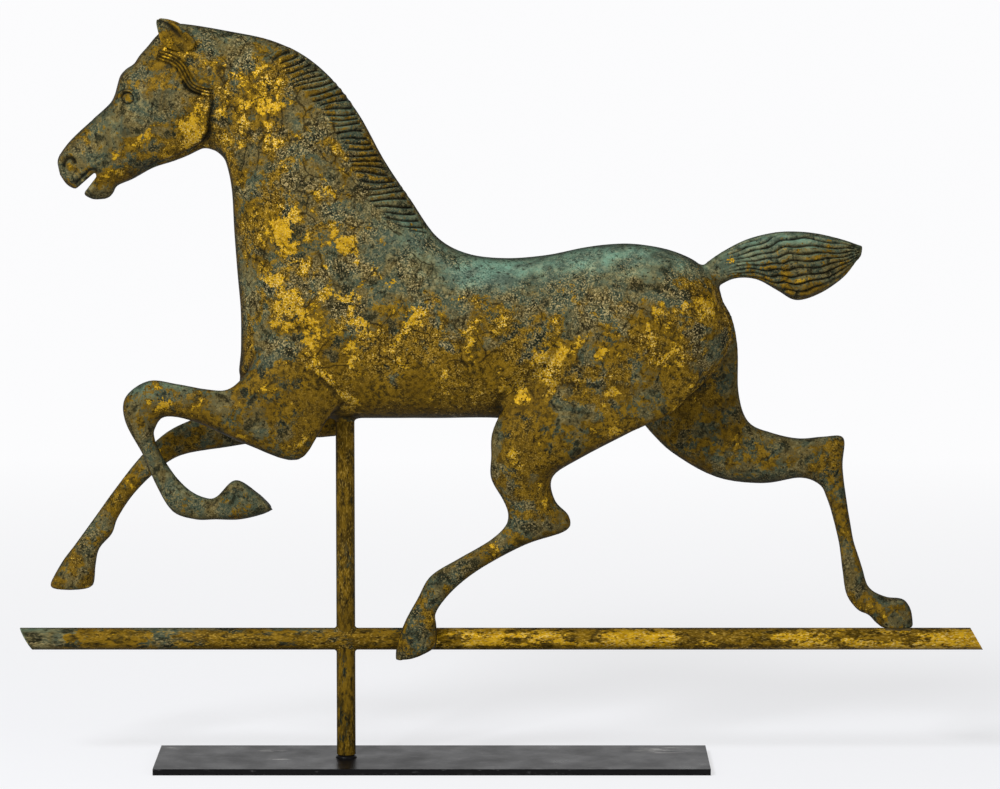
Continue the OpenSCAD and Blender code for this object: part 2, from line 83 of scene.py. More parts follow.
def black_oxide_steel(name, scuff_mm, scuff_share, chalk=()):
    """Blackened and waxed steel: dark oxide in clouds of about 45 mm, with pale scuffs of
    this spacing, and chalky smears given as middle and half length in mm."""
    material, tree = start_material(name)
    place = add_node(tree, "ShaderNodeTexCoord", out="Object")
    cloud = add_node(tree, "ShaderNodeTexNoise", {
        "Vector": place, "Scale": 22.0, "Detail": 6.0, "Roughness": 0.62})
    stretch = add_node(tree, "ShaderNodeMapping", {"Vector": place, "Scale": (0.25, 1.0, 1.0)})
    streak = add_node(tree, "ShaderNodeTexNoise", {
        "Vector": stretch, "Scale": 1000 / scuff_mm, "Detail": 5.0, "Roughness": 0.7})
    scuff = add_node(tree, "ShaderNodeMapRange", {
        "Value": streak, "From Min": 0.68 - scuff_share, "From Max": 0.82})
    oxide = add_node(tree, "ShaderNodeMix", {
        "Factor": cloud, "A": to_linear("#080708"), "B": to_linear("#151415")}, data_type="RGBA")
    worn = add_node(tree, "ShaderNodeMix", {
        "Factor": scuff, "A": oxide, "B": to_linear("#6e6c6d")}, data_type="RGBA")
    for x, y, half_x, half_y in chalk:
        around = add_node(tree, "ShaderNodeMapping", {
            "Vector": place, "Location": (-x / half_x, -y / half_y, 0),
            "Scale": (1000 / half_x, 1000 / half_y, 1)})
        near = add_node(tree, "ShaderNodeTexGradient", {"Vector": around}, out="Fac",
                        gradient_type="SPHERICAL")
        broken = add_node(tree, "ShaderNodeMapRange", {
            "Value": streak, "From Min": 0.46, "From Max": 0.58, "To Max": 1.6})
        smear = add_node(tree, "ShaderNodeMath", {0: near, 1: broken}, operation="MULTIPLY",
                         use_clamp=True)
        worn = add_node(tree, "ShaderNodeMix", {
            "Factor": smear, "A": worn, "B": to_linear("#8d8b88")}, data_type="RGBA")
    rough = add_node(tree, "ShaderNodeMapRange", {
        "Value": cloud, "From Min": 0.3, "From Max": 0.7, "To Min": 0.26, "To Max": 0.42})
    bump = add_node(tree, "ShaderNodeBump", {"Height": streak, "Strength": 0.25, "Distance": 0.0002})
    steel = add_node(tree, "ShaderNodeBsdfPrincipled", {
        "Base Color": worn, "Roughness": rough, "Specular IOR Level": 0.08, "Normal": bump})
    add_node(tree, "ShaderNodeOutputMaterial", {"Surface": steel})
    return material


plate_steel = black_oxide_steel(
    "mild_steel_black_oxide_waxed", scuff_mm=5, scuff_share=0.07,
    chalk=[(-76, 34, 17, 7), (-68, -10, 14, 6), (322, 40, 34, 24), (-180, 46, 10, 8)])
finish_node("base_plate", plate_steel)
bevel = nodes["base_plate"].modifiers.new("broken edges", "BEVEL")
bevel.width = 0.0006
bevel.segments = 2
bevel.limit_method = "ANGLE"
bevel.angle_limit = math.radians(40)


# The spindle rod is turned bar, darkened by handling, and its weld bead is the grey
# scale and glassy black slag of a stick weld.

finish_node("spindle_rod", black_oxide_steel("turned_steel_rod_darkened", scuff_mm=3, scuff_share=0.06))
finish_node("rod_weld", black_oxide_steel("stick_weld_scale", scuff_mm=2, scuff_share=0.0))


# The sleeve, the crossbar and its caps are drawn copper tube. They were sized, gilded
# with leaf and left outdoors: the leaf wore off in flakes down to brown and green
# patina, most at the ends and under the hands that turned the vane.

# A millimetre in metres, and the height of the crossbar's axis in millimetres
MM = 0.001
BAR_Z = 128


def gilded_copper(name, left, rubbed, green, dirt_and_shade, polish, stretch=(1, 1, 1), runs=(), bump=0.8):
    """Weathered gold leaf on copper. The five shares are values or the names of mesh
    attributes: whole leaf left, gold rubbed thin, verdigris, dirt and painted shade, and
    polish, which makes the grain fainter. Stretch below 1 draws the wear out along that
    axis. Each of the runs is a start and an end along X in mm, over which the gold and the
    verdigris grow by two amounts."""
    material, tree = start_material(name)
    left, rubbed, green, dirt_and_shade, polish = (
        add_node(tree, "ShaderNodeAttribute", out="Fac", attribute_name=share)
        if isinstance(share, str) else share for share in (left, rubbed, green, dirt_and_shade, polish))
    seat = add_node(tree, "ShaderNodeTexCoord", out="Object")
    place = add_node(tree, "ShaderNodeMapping", {"Vector": seat, "Scale": stretch})
    eased = {"interpolation_type": "SMOOTHSTEP"}

    # Worn areas the size of a hand, flakes of 5 to 20 mm, tones between them, mottling of
    # 3 to 6 mm, grains of 1 to 2 mm and sparks, the places where these are coarse, dark
    # pits, and the torn edge of a run: size in mm, detail, roughness and distortion
    broad, flake, tone, mottle, grain, spark, patchy, pitted, torn = (
        add_node(tree, "ShaderNodeTexNoise", {
            "Vector": place, "Scale": 1000 / size_mm, "Detail": detail, "Roughness": roughness,
            "Distortion": distortion})
        for size_mm, detail, roughness, distortion in (
            (58, 2.0, 0.5, 0.4), (15, 7.0, 0.66, 0.25), (27, 5.0, 0.6, 0.6), (5.5, 4.0, 0.62, 0.3),
            (1.6, 1.0, 0.6, 0.0), (1.2, 0.0, 0.5, 0.0), (36, 1.0, 0.5, 0.0), (3.6, 3.0, 0.6, 0.0),
            (9, 3.0, 0.6, 0.0)))

    def added(*terms, start=0.0):
        """The start with each pattern or share, times its amount, added to it."""
        for pattern, amount in terms:
            start = add_node(tree, "ShaderNodeMath", {0: pattern, 1: amount, 2: start},
                             operation="MULTIPLY_ADD")
        return start

    def coated(colour, *coats):
        """This colour under others. Each coat is its colour, the pattern or share that
        carries it, the levels between which a pattern does so, and what thins it."""
        colour = to_linear(colour) if isinstance(colour, str) else colour
        for over, share, levels, *thinned in coats:
            over = to_linear(over) if isinstance(over, str) else over
            if levels:
                share = add_node(tree, "ShaderNodeMapRange", {
                    0: share, 1: levels[0], 2: levels[1]}, **eased)
            for amount in thinned:
                share = added((share, amount))
            colour = add_node(tree, "ShaderNodeMix", {
                "Factor": share, "A": colour, "B": over}, data_type="RGBA")
        return colour

    # Rain leaves the tops greener and barer
    turned_up = add_node(tree, "ShaderNodeTexCoord", out="Normal")
    upright = add_node(tree, "ShaderNodeSeparateXYZ", {0: turned_up}, out="Z")
    top = add_node(tree, "ShaderNodeMapRange", {0: upright, 1: 0.35, 2: 0.95}, **eased)
    left = added((top, -0.15), start=left)
    rubbed = added((top, -0.22), start=rubbed)
    green = added((top, 0.16), start=green)
    along = add_node(tree, "ShaderNodeSeparateXYZ", {0: seat}, out="X")
    for first_mm, last_mm, more_gold, more_green in runs:
        ragged = added((along, 1.0), (torn, 0.12), start=-0.06)
        reached = add_node(tree, "ShaderNodeMapRange", {
            0: ragged, 1: first_mm * MM, 2: last_mm * MM}, **eased)
        rubbed = added((reached, more_gold), start=rubbed)
        left = added((reached, more_gold), start=left)
        green = added((reached, more_green), start=green)

    # The wear averages 0, so a share of 0.5 leaves half of the surface covered
    wear = added((broad, 1.5), (flake, 2.3), (mottle, 0.6), (grain, 0.5), start=-2.45)
    leaf = add_node(tree, "ShaderNodeMapRange", {
        0: added((wear, 1.0), start=left), 1: 0.47, 2: 0.54}, **eased)
    wash = add_node(tree, "ShaderNodeMapRange", {
        0: added((wear, 1.0), start=rubbed), 1: 0.40, 2: 0.57}, **eased)
    coarse = add_node(tree, "ShaderNodeMapRange", {0: patchy, 1: 0.38, 2: 0.60, 3: 0.25}, **eased)
    coarse = added((coarse, added((polish, -0.8), start=1.0)))

    # Fine cracks through the gilding, in plates of 24 mm, where it is thick and unpolished
    shift = add_node(tree, "ShaderNodeTexNoise", {
        "Vector": place, "Scale": 1000 / 14, "Detail": 3.0}, out="Color")
    shift = add_node(tree, "ShaderNodeVectorMath", {0: shift, "Scale": 0.012}, operation="SCALE")
    bent = add_node(tree, "ShaderNodeVectorMath", {0: place, 1: shift}, operation="ADD")
    plates = add_node(tree, "ShaderNodeTexVoronoi", {"Vector": bent, "Scale": 1000 / 24},
                      feature="DISTANCE_TO_EDGE")
    brittle = add_node(tree, "ShaderNodeMapRange", {0: tone, 1: 0.46, 2: 0.56}, **eased)
    unpolished = add_node(tree, "ShaderNodeMapRange", {0: polish, 1: 0.32, 2: 0.12}, **eased)

    ground = coated(
        "#444c3b", ("#5e512c", tone, (0.42, 0.58)), ("#84794e", mottle, (0.50, 0.64), 0.7),
        ("#171a0f", flake, (0.47, 0.38), 0.85), ("#bda873", grain, (0.53, 0.67), 0.75, coarse),
        ("#0c0b04", grain, (0.47, 0.36), 0.8, coarse))
    verdigris = coated(
        "#4c5c4f", ("#739781", tone, (0.38, 0.62)), ("#93a48a", mottle, (0.50, 0.64), 0.35),
        ("#a5ae92", grain, (0.54, 0.68), 0.3, coarse), ("#1c2823", grain, (0.48, 0.37), 0.6, coarse))
    thin = coated(
        "#372903", ("#80610a", mottle, (0.36, 0.60)), ("#56400a", tone, (0.44, 0.62), 0.5),
        ("#cda94e", spark, (0.56, 0.72), 0.6, coarse), ("#110b02", grain, (0.47, 0.36), 0.8, coarse))
    gold = coated(
        "#916d0b", ("#bf961e", mottle, (0.36, 0.58)), ("#ecd48c", spark, (0.54, 0.69), 0.7, coarse),
        ("#2a1e05", grain, (0.47, 0.36), 0.85, coarse))

    # From the copper's patina up: verdigris, thin gold, whole leaf, pits, cracks, painted shade
    # under faces turned down, the dirt share of dirt and painted shade, and painted shade
    # where the surface turns away
    turned = add_node(tree, "ShaderNodeLayerWeight", {"Blend": 0.4}, out="Facing")
    colour = coated(
        ground, (verdigris, added((green, 1.0), (flake, 1.0), start=-0.5), (0.05, 0.75)),
        (thin, wash, None, 0.92), (gold, leaf, None), ("#151208", pitted, (0.43, 0.34), 0.75),
        ("#151208", plates, (0.045, 0.012), brittle, 0.75, unpolished),
        # Painted shade on faces turned down, then the dirt share of dirt and painted shade
        ("#2a1f0a", upright, (-0.25, -0.95), 0.55), ("#0d0e0a", dirt_and_shade, None, 0.9),
        # Painted shade where the surface turns away from the view, darkening the outlines
        ("#0f0e07", turned, (0.27, 0.80), 0.80))

    metal = added((leaf, 0.22), (wash, added((polish, 0.15), start=0.15)))
    smooth = add_node(tree, "ShaderNodeMath", {0: leaf, 1: polish}, operation="MAXIMUM")
    relief = add_node(tree, "ShaderNodeBump", {
        "Height": added((leaf, 0.3), (flake, 0.9), (grain, 0.5)), "Strength": bump, "Distance": 0.0009})
    copper = add_node(tree, "ShaderNodeBsdfPrincipled", {
        "Base Color": colour, "Metallic": added((metal, added((dirt_and_shade, -1.0), start=1.0))),
        "Roughness": added((smooth, -0.18), start=0.66), "Specular IOR Level": 0.03, "Normal": relief})
    add_node(tree, "ShaderNodeOutputMaterial", {"Surface": copper})
    return material


tube_copper = gilded_copper(
    "drawn_copper_tube_worn_gilding", left=0.04, rubbed=0.60, green=0.0, dirt_and_shade=0.0, polish=0.6,
    stretch=(0.4, 1, 1), runs=[(-270, -290, -1.0, 0.12), (-60, 160, 0.44, 0.0)], bump=0.4)
# Part of the sleeve's dirt share is painted shade: the horse's shadow on its upper part, spread over
# the whole sleeve
sleeve_copper = gilded_copper(
    "drawn_copper_sleeve_rubbed_gilding", left=-0.1, rubbed=0.80, green=-0.1, dirt_and_shade=0.27, polish=0.5,
    stretch=(1, 1, 0.4), bump=0.6)
green_end_copper = gilded_copper(
    "drawn_copper_end_verdigris", left=-0.6, rubbed=-0.6, green=0.24, dirt_and_shade=0.0, polish=0.0)
finish_node("crossbar_tube", tube_copper)
finish_node("crossbar_tail_cap", tube_copper)
finish_node("sleeve_tube", sleeve_copper)
finish_node("crossbar_head_cap", green_end_copper)


# The solder at the hooves is lead and tin, laid with an iron and gone dull and brown.
# Inside the vane, the bush and the pivot are bronze and the brace is bare copper.

def dull_metal(name, dark, light, grain_mm, metallic, roughness):
    """A cast or rolled metal with a mottled, oxidised skin."""
    material, tree = start_material(name)
    place = add_node(tree, "ShaderNodeTexCoord", out="Object")
    mottle = add_node(tree, "ShaderNodeTexNoise", {
        "Vector": place, "Scale": 1000 / grain_mm, "Detail": 7.0, "Roughness": 0.65})
    colour = add_node(tree, "ShaderNodeMix", {
        "Factor": mottle, "A": to_linear(dark), "B": to_linear(light)}, data_type="RGBA")
    rough = add_node(tree, "ShaderNodeMapRange", {
        "Value": mottle, "To Min": roughness - 0.1, "To Max": roughness + 0.1})
    bump = add_node(tree, "ShaderNodeBump", {"Height": mottle, "Strength": 0.4, "Distance": 0.0006})
    metal = add_node(tree, "ShaderNodeBsdfPrincipled", {
        "Base Color": colour, "Metallic": metallic, "Roughness": rough, "Normal": bump})
    add_node(tree, "ShaderNodeOutputMaterial", {"Surface": metal})
    return material


finish_node("hoof_solder", dull_metal(
    "lead_tin_solder_aged", "#211f17", "#6b5724", grain_mm=5, metallic=0.4, roughness=0.6))
bronze = dull_metal(
    "bearing_bronze_turned", "#6d4c1d", "#b78a3c", grain_mm=6, metallic=1.0, roughness=0.4)
for name in ("guide_bush", "pivot_cap"):
    finish_node(name, bronze)
finish_node("sleeve_brace", dull_metal(
    "copper_strip_rolled", "#5a2f1c", "#a5623c", grain_mm=8, metallic=1.0, roughness=0.5))


# Where the sleeve meets the crossbar and the belly, the solder was wiped to a hollow
# fillet before the gilding, so it carries the same worn gold and more dirt.

def join_rows(mesh, rows, closed=True):
    """Faces between neighbouring rows of points, each row a ring or an open line."""
    for first, second in zip(rows, rows[1:]):
        for k in range(len(first) if closed else len(first) - 1):
            after = (k + 1) % len(first)
            mesh.faces.new((first[k], first[after], second[after], second[k]))


def new_object(name, mesh):
    """A finished mesh as an object in the scene."""
    data = bpy.data.meshes.new(name)
    mesh.to_mesh(data)
    mesh.free()
    made = bpy.data.objects.new(name, data)
    bpy.context.scene.collection.objects.link(made)
    return made


def wiped_fillet(name, seats, rise, reach, widest):
    """Closed rings of solder round the sleeve. Each seat is the side of a surface, 1 over
    it and -1 under it, and its height in mm at a distance in y from the sleeve's axis."""
    sleeve_radius, sunk, turns, steps = 9.5, 0.4, 72, 6
    mesh = bmesh.new()
    for way, height in seats:
        sections = []
        for angle in (2 * math.pi * k / turns for k in range(turns)):
            across = abs(math.sin(angle))
            wide = min(sleeve_radius + reach, widest / max(across, 0.001))
            start, end = height(sleeve_radius * across), height(wide * across)
            rim = []
            for t in (k / steps for k in range(steps + 1)):
                above, between, below = (1 - t) ** 2, 2 * t * (1 - t), t * t
                radius = above * sleeve_radius + between * (sleeve_radius + sunk) + below * wide
                level = above * (start + way * rise) + between * (start + way * sunk) + below * end
                rim.append((radius, level))
            rim += [(wide, end - way), (sleeve_radius - sunk, start - way),
                    (sleeve_radius - sunk, start + way * rise)]
            sections.append([mesh.verts.new((
                radius * math.cos(angle) * MM, radius * math.sin(angle) * MM, level * MM))
                for radius, level in rim])
        join_rows(mesh, sections + sections[:1])
    bmesh.ops.recalc_face_normals(mesh, faces=mesh.faces)
    piece = new_object(name, mesh)
    piece.data.shade_smooth()
    piece.data.materials.append(wiped_solder)
    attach(piece, "vane")
    return piece


wiped_solder = gilded_copper(
    "wiped_solder_gilded", left=0.06, rubbed=0.55, green=0.0, dirt_and_shade=0.25, polish=0.1)
bar_radius = 11.1
crossing = wiped_fillet(
    "crossing_solder_fillets",
    [(way, lambda y, way=way: BAR_Z + way * math.sqrt(bar_radius ** 2 - y ** 2)) for way in (1, -1)],
    rise=2.4, reach=2.4, widest=bar_radius * 0.995)
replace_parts(crossing, "crossing_solder")
belly_z, belly_half_width, belly_half_height = 353, 57, 83
belly = wiped_fillet(
    "belly_solder_fillet",
    [(-1, lambda y: belly_z + belly_half_height * (1 - math.sqrt(1 - (y / belly_half_width) ** 2)))],
    rise=4.0, reach=8.0, widest=99)
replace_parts(belly, "belly_collar")


# The horse's head, neck and trunk are two moulded halves of copper sheet, hammered
# into a mould and soldered along the middle. Slices give the form.

# Each is [upper x, upper z, lower x, lower z, middle y, half width], in millimetres
# from the rod's axis and over the crossbar's axis
trunk_ribs = [
    [-286.5, 483, -284, 470, 0, 7], [-284, 490, -277, 460, 0, 13], [-275, 502, -266, 454, 0, 16],
    [-264, 513, -253, 446, 0, 17], [-254, 522, -243, 445.5, 0, 18], [-247, 529, -236, 447, 0, 19],
    [-241, 534, -231, 452, 0, 20], [-236, 538.5, -227, 459, 0, 21],
    [-231.5, 543.5, -211, 466, 0, 24], [-228, 551, -191, 477, 0, 27],
    [-225.5, 560, -171, 483.5, 0, 30], [-222.5, 569, -157, 489, 0, 32],
    [-216.5, 575.5, -147, 494, 0, 32], [-209, 580.5, -141, 496.5, 0, 32],
    [-203.5, 588.5, -137, 496.5, 0, 32], [-195.5, 597.5, -133, 495.5, 0, 31],
    [-184, 610.5, -127, 493, 0, 31], [-169, 619, -120.5, 487, 0, 30],
    [-154, 619.5, -116.5, 479, 0, 30], [-115, 613, -112, 454, 0, 31], [-73, 604, -110, 414, 0, 35],
    [-39, 588, -107, 371, 0, 40], [-10, 563, -104, 333, 0, 45], [16, 528, -104, 295, 0, 49],
    [40, 484, -105, 258, 0, 52], [66, 445, -83, 228, 0, 55], [92, 408, -33, 225, 0, 57],
    [122, 391, 25, 225, 0, 58], [160, 386, 92, 225, 0, 58], [202, 389, 156, 225, 0, 55],
    [242, 397, 212, 218, 0, 56], [278, 401, 267, 212, 0, 58], [314, 397, 309, 224, 0, 54],
    [340, 389, 351, 251, 0, 44], [358, 378, 379, 283, 0, 30], [375, 358, 389, 309, 0, 12],
]
mouth_wedge = [[-275, 450], [-249, 473], [-246, 472], [-246, 469], [-262, 449]]


def smoothed(rows, steps):
    """Rows of numbers with others put between them along smooth curves."""
    rows = np.array(rows, float)
    last = len(rows) - 1
    out = []
    for i in range(last):
        a, b, c, d = rows[max(i - 1, 0)], rows[i], rows[i + 1], rows[min(i + 2, last)]
        for k in range(steps):
            t = k / steps
            out.append(0.5 * (2 * b + (c - a) * t + (2 * a - 5 * b + 4 * c - d) * t ** 2
                              + (3 * b - a - 3 * c + d) * t ** 3))
    out.append(rows[last])
    return np.array(out)


def lofted(name, ribs, steps=5, turns=64):
    """A closed form through a row of upright oval slices."""
    mesh = bmesh.new()
    rings = []
    for ux, uz, lx, lz, y, width in smoothed(ribs, steps):
        half = Vector(((ux - lx) / 2, 0, (uz - lz) / 2))
        middle = Vector(((ux + lx) / 2, y, (uz + lz) / 2 + BAR_Z))
        rings.append([
            mesh.verts.new((middle + half * math.cos(a) + Vector((0, width * math.sin(a), 0))) * MM)
            for a in (2 * math.pi * k / turns for k in range(turns))])
    join_rows(mesh, rings)
    mesh.faces.new(rings[0][::-1])
    mesh.faces.new(rings[-1])
    bmesh.ops.recalc_face_normals(mesh, faces=mesh.faces)
    return new_object(name, mesh)


def settled(form):
    """Makes what a form's modifiers give its own mesh."""
    graph = bpy.context.evaluated_depsgraph_get()
    form_mesh = bpy.data.meshes.new_from_object(form.evaluated_get(graph))
    form.modifiers.clear()
    form.data = form_mesh


trunk = lofted("trunk", trunk_ribs, steps=6, turns=96)

# The open mouth is a wedge cut right through
wedge_mesh = bmesh.new()
corners = [[wedge_mesh.verts.new((x * MM, y, (z + BAR_Z) * MM)) for x, z in mouth_wedge]
           for y in (-0.06, 0.06)]
wedge_mesh.faces.new(corners[0])
wedge_mesh.faces.new(corners[1][::-1])
join_rows(wedge_mesh, corners)
bmesh.ops.recalc_face_normals(wedge_mesh, faces=wedge_mesh.faces)
wedge = new_object("mouth wedge", wedge_mesh)
cut = trunk.modifiers.new("mouth", "BOOLEAN")
cut.operation = "DIFFERENCE"
cut.object = wedge
cut.solver = "EXACT"
settled(trunk)
bpy.data.objects.remove(wedge)


# Each leg and the tail are moulded halves of the same sheet, soldered edge to edge
# and then to the body, with the joint floated smooth.

near_foreleg_ribs = [
    [-36, 334, -8, 324, -34, 8], [-58, 318, 6, 290, -34, 12], [-82, 297, 2, 256, -34, 16],
    [-99, 272, -20, 222, -37, 18], [-116, 258, -46, 187, -37, 18], [-137, 258, -96, 202, -36, 16],
    [-167, 263, -146, 224, -33, 14], [-195, 266, -178, 230, -32, 14],
    [-218, 250, -189, 218, -31, 14], [-219, 226, -189, 207, -31, 12],
    [-202, 192, -183, 192, -31, 9], [-187, 158, -169, 170, -30, 8], [-172, 134, -154, 155, -30, 10],
    [-149, 126, -139, 148, -30, 9], [-129, 126, -128, 149, -30, 9], [-105, 126, -109, 166, -30, 15],
    [-83, 131, -87, 153, -30, 14], [-72, 136, -76, 142, -30, 9],
]
far_foreleg_ribs = [
    [-38, 330, -10, 318, 34, 8], [-62, 312, 8, 280, 34, 12], [-90, 286, 9, 240, 34, 16],
    [-109, 255, -1, 205, 37, 17], [-126, 238, -67, 199, 37, 16], [-148, 223, -120, 191, 36, 14],
    [-181, 207, -167, 183, 33, 12], [-209, 181, -193, 166, 32, 10], [-235, 148, -216, 143, 31, 9],
    [-253, 123, -232, 119, 31, 9], [-266, 105, -238, 103, 31, 11], [-277, 90, -251, 88, 31, 10],
    [-289, 74, -255, 71, 31, 14], [-301, 52, -257, 52, 31, 17], [-298, 47, -263, 47, 31, 15],
]
near_hindleg_ribs = [
    [240, 322, 318, 312, -34, 8], [208, 300, 356, 276, -34, 12], [170, 256, 331, 240, -38, 18],
    [149, 218, 289, 217, -40, 21], [147, 190, 238, 190, -38, 21], [147, 168, 209, 170, -35, 18],
    [159, 146, 211, 146, -34, 14], [164, 131, 225, 130, -33, 14], [160, 118, 222, 115, -32, 13],
    [143, 103, 182, 101, -31, 11], [114, 86, 138, 77, -29, 9], [86, 68, 110, 55, -27, 10],
    [73, 45, 92, 32, -26, 10], [60, 21, 92, 17, -26, 12], [52, -2, 91, -3, -27, 14],
    [51, -17, 75, -13, -27, 12],
]
far_hindleg_ribs = [
    [374, 350, 304, 332, 34, 8], [390, 324, 272, 296, 34, 12], [397, 290, 276, 252, 42, 18],
    [398, 246, 303, 212, 44, 20], [408, 216, 330, 185, 42, 22], [432, 205, 375, 160, 39, 22],
    [460, 200, 422, 154, 35, 20], [484, 202, 460, 160, 32, 16], [504, 201, 480, 153, 30, 14],
    [503, 172, 487, 140, 28, 12], [508, 133, 492, 125, 25, 9], [514, 101, 499, 96, 22, 9],
    [523, 70, 503, 67, 18, 10], [530, 50, 507, 43, 15, 10], [547, 41, 518, 28, 12, 12],
    [564, 39, 529, 23, 9, 14], [572, 28, 536, 16, 7, 15], [574, 11.4, 542, 11.4, 6, 15],
]
tail_ribs = [
    [348, 372, 366, 352, 0, 7], [358.5, 378.5, 375.5, 358.5, 0, 8], [378, 392, 392, 366, 0, 11],
    [401, 404, 413, 365, 0, 14], [426, 411, 434, 354, 0, 18], [446, 413, 453, 344, 0, 19],
    [472, 411, 477, 351, 0, 18], [498, 405, 500, 367, 0, 13], [513, 400, 513, 383, 0, 8],
    [519, 398, 517.5, 388, 0, 6],
]
parts = {
    "trunk": trunk_ribs, "near_foreleg": near_foreleg_ribs, "far_foreleg": far_foreleg_ribs,
    "near_hindleg": near_hindleg_ribs, "far_hindleg": far_hindleg_ribs, "tail": tail_ribs,
}
limbs = [lofted(name, ribs) for name, ribs in parts.items() if name != "trunk"]

# All forms are melted into one skin, so that its creases can be filled as with solder
skin_grid_mm = 2.0
with bpy.context.temp_override(active_object=trunk, selected_editable_objects=[trunk] + limbs):
    bpy.ops.object.join()
skin = trunk.modifiers.new("one skin", "REMESH")
skin.mode = "VOXEL"
skin.voxel_size = skin_grid_mm * MM
settled(trunk)


def mesh_arrays(mesh):
    """Points, edges and point normals of a mesh."""
    points = np.empty(len(mesh.vertices) * 3)
    mesh.vertices.foreach_get("co", points)
    edges = np.empty(len(mesh.edges) * 2, int)
    mesh.edges.foreach_get("vertices", edges)
    normals = np.empty(len(mesh.vertices) * 3)
    mesh.vertex_normals.foreach_get("vector", normals)
    return points.reshape(-1, 3), edges.reshape(-1, 2), normals.reshape(-1, 3)


def neighbour_mean(values, edges):
    """The mean of each point's neighbours, for one value or three to a point."""
    count = len(values)
    degree = np.bincount(edges.ravel(), minlength=count)
    ends = np.concatenate([edges, edges[:, ::-1]])
    columns = values.reshape(count, -1)
    total = np.stack([np.bincount(ends[:, 0], columns[ends[:, 1], c], minlength=count)
                      for c in range(columns.shape[1])], 1)
    return (total / np.maximum(degree, 1)[:, None]).reshape(values.shape)


def step(values, low, high):
    """Rises smoothly from 0 at low to 1 at high."""
    t = np.clip((values - low) / (high - low), 0, 1)
    return t * t * (3 - 2 * t)


def distance_to(ribs, points, reach=1.35):
    """Rough distance in mm to an oval form, below 0 inside it, with each point's place
    along the form and across it, from -1 at the lower outline to 1 at the upper one."""
    ribs = smoothed(ribs, 3)
    flat = np.stack([points[:, 0] / MM, points[:, 2] / MM - BAR_Z], 1)
    y = points[:, 1] / MM
    best = np.full(len(points), 999.0)
    along = np.zeros(len(points))
    across = np.zeros(len(points))
    for i, (a, b) in enumerate(zip(ribs, ribs[1:])):
        def off(rib):
            side = rib[:2] - rib[2:4]
            away = flat - rib[2:4]
            return side[0] * away[:, 1] - side[1] * away[:, 0]
        off_a, off_b = off(a), off(b)
        gap = np.where(off_a == off_b, 1.0, off_a - off_b)
        share = off_a / gap
        here = a + (b - a) * share[:, None]
        half = (here[:, :2] - here[:, 2:4]) / 2
        size = (half ** 2).sum(1)
        height = ((flat - (here[:, :2] + here[:, 2:4]) / 2) * half).sum(1) / np.maximum(size, 1e-6)
        ratio = np.sqrt(height ** 2 + ((y - here[:, 4]) / np.maximum(here[:, 5], 1)) ** 2)
        far_off = (ratio - 1) * np.minimum(np.sqrt(size), np.maximum(here[:, 5], 1))
        good = (share >= 0) & (share <= 1) & (np.abs(height) < reach) & (far_off < best)
        best[good] = far_off[good]
        along[good] = (i + share[good]) / (len(ribs) - 1)
        across[good] = height[good]
    return best, along, across


# Solder fills the creases where the legs and the tail meet the body: only hollow
# corners close to the trunk are filled, and the rest of the sheet is just eased.

def store_points():
    """Puts the moved points back into the skin."""
    trunk.data.vertices.foreach_set("co", points.ravel())
    trunk.data.update()


points, edges, normals = mesh_arrays(trunk.data)
ease, puff_back = 0.5, -0.53
for way in (ease, puff_back) * 3:
    points += way * (neighbour_mean(points, edges) - points)
fill_reach_mm, fill_turns = 14, 60
by_trunk = np.exp(-(distance_to(trunk_ribs, points)[0] / fill_reach_mm) ** 2)
by_trunk *= step(points[:, 0], -0.15, -0.12)
for turn in range(fill_turns):
    if turn % 6 == 0:
        store_points()
        normals = mesh_arrays(trunk.data)[2]
        inward = ((neighbour_mean(points, edges) - points) * normals).sum(1) / MM
        crease = step(inward, 0.004, 0.05) * by_trunk
        for widening in range(5):
            crease = np.maximum(crease * 0.8, neighbour_mean(crease, edges))
    points += (0.8 * crease)[:, None] * (neighbour_mean(points, edges) - points)
store_points()


# The head, the mane, the tail and the haunch's edge are struck finer than the rest,
# so their mesh is finer too, and finest at the eye, the nostril and the lock of hair.

# Across the mane: x and z of its crest and of its edge on the neck, at any width
mane_rows = [
    [-62, 727, -80, 719], [-50, 722, -66, 712], [-29, 709, -57, 700], [-18, 698, -48, 690],
    [-5, 688, -37, 680], [7, 672, -24, 667], [15, 657, -13, 656], [21, 643, -6, 642],
    [30, 627, 2, 628], [39, 613, 7, 615], [48, 597, 15, 600], [61, 583, 22, 581],
    [70, 567, 33, 568], [80, 547, 51, 552], [87, 537, 70, 542],
]
any_width = 1e6
mane_ribs = [[cx, cz - BAR_Z, ix, iz - BAR_Z, 0, any_width] for cx, cz, ix, iz in mane_rows]

mesh = bmesh.new()
mesh.from_mesh(trunk.data)
mesh.verts.ensure_lookup_table()
for rounds in range(2):
    where = np.array([v.co for v in mesh.verts])
    x, z = where[:, 0] / MM, where[:, 2] / MM
    if rounds == 0:
        edge_of_mane = np.abs(distance_to(mane_ribs, where, 1.5)[2]) > 0
        head, tail = (x < -105) & (z > 555), (x > 378) & (z > 440)
        near_haunch = (x > 290) & (z > 340) & (z < 485) & (where[:, 1] < 0)
        fine = head | edge_of_mane | tail | near_haunch
    else:
        eye, nostril = np.hypot(x + 215, z - 676) < 15, np.hypot(x + 275, z - 609) < 15
        lock_of_hair = (x > -190) & (x < -122) & (z > 674) & (z < 728)
        fine = eye | nostril | lock_of_hair
        fine &= np.abs(where[:, 1]) > 0.004
    chosen = [e for e in mesh.edges if fine[e.verts[0].index] and fine[e.verts[1].index]]
    bmesh.ops.subdivide_edges(mesh, edges=chosen, cuts=1, use_grid_fill=True)
    mesh.verts.index_update()
    mesh.verts.ensure_lookup_table()
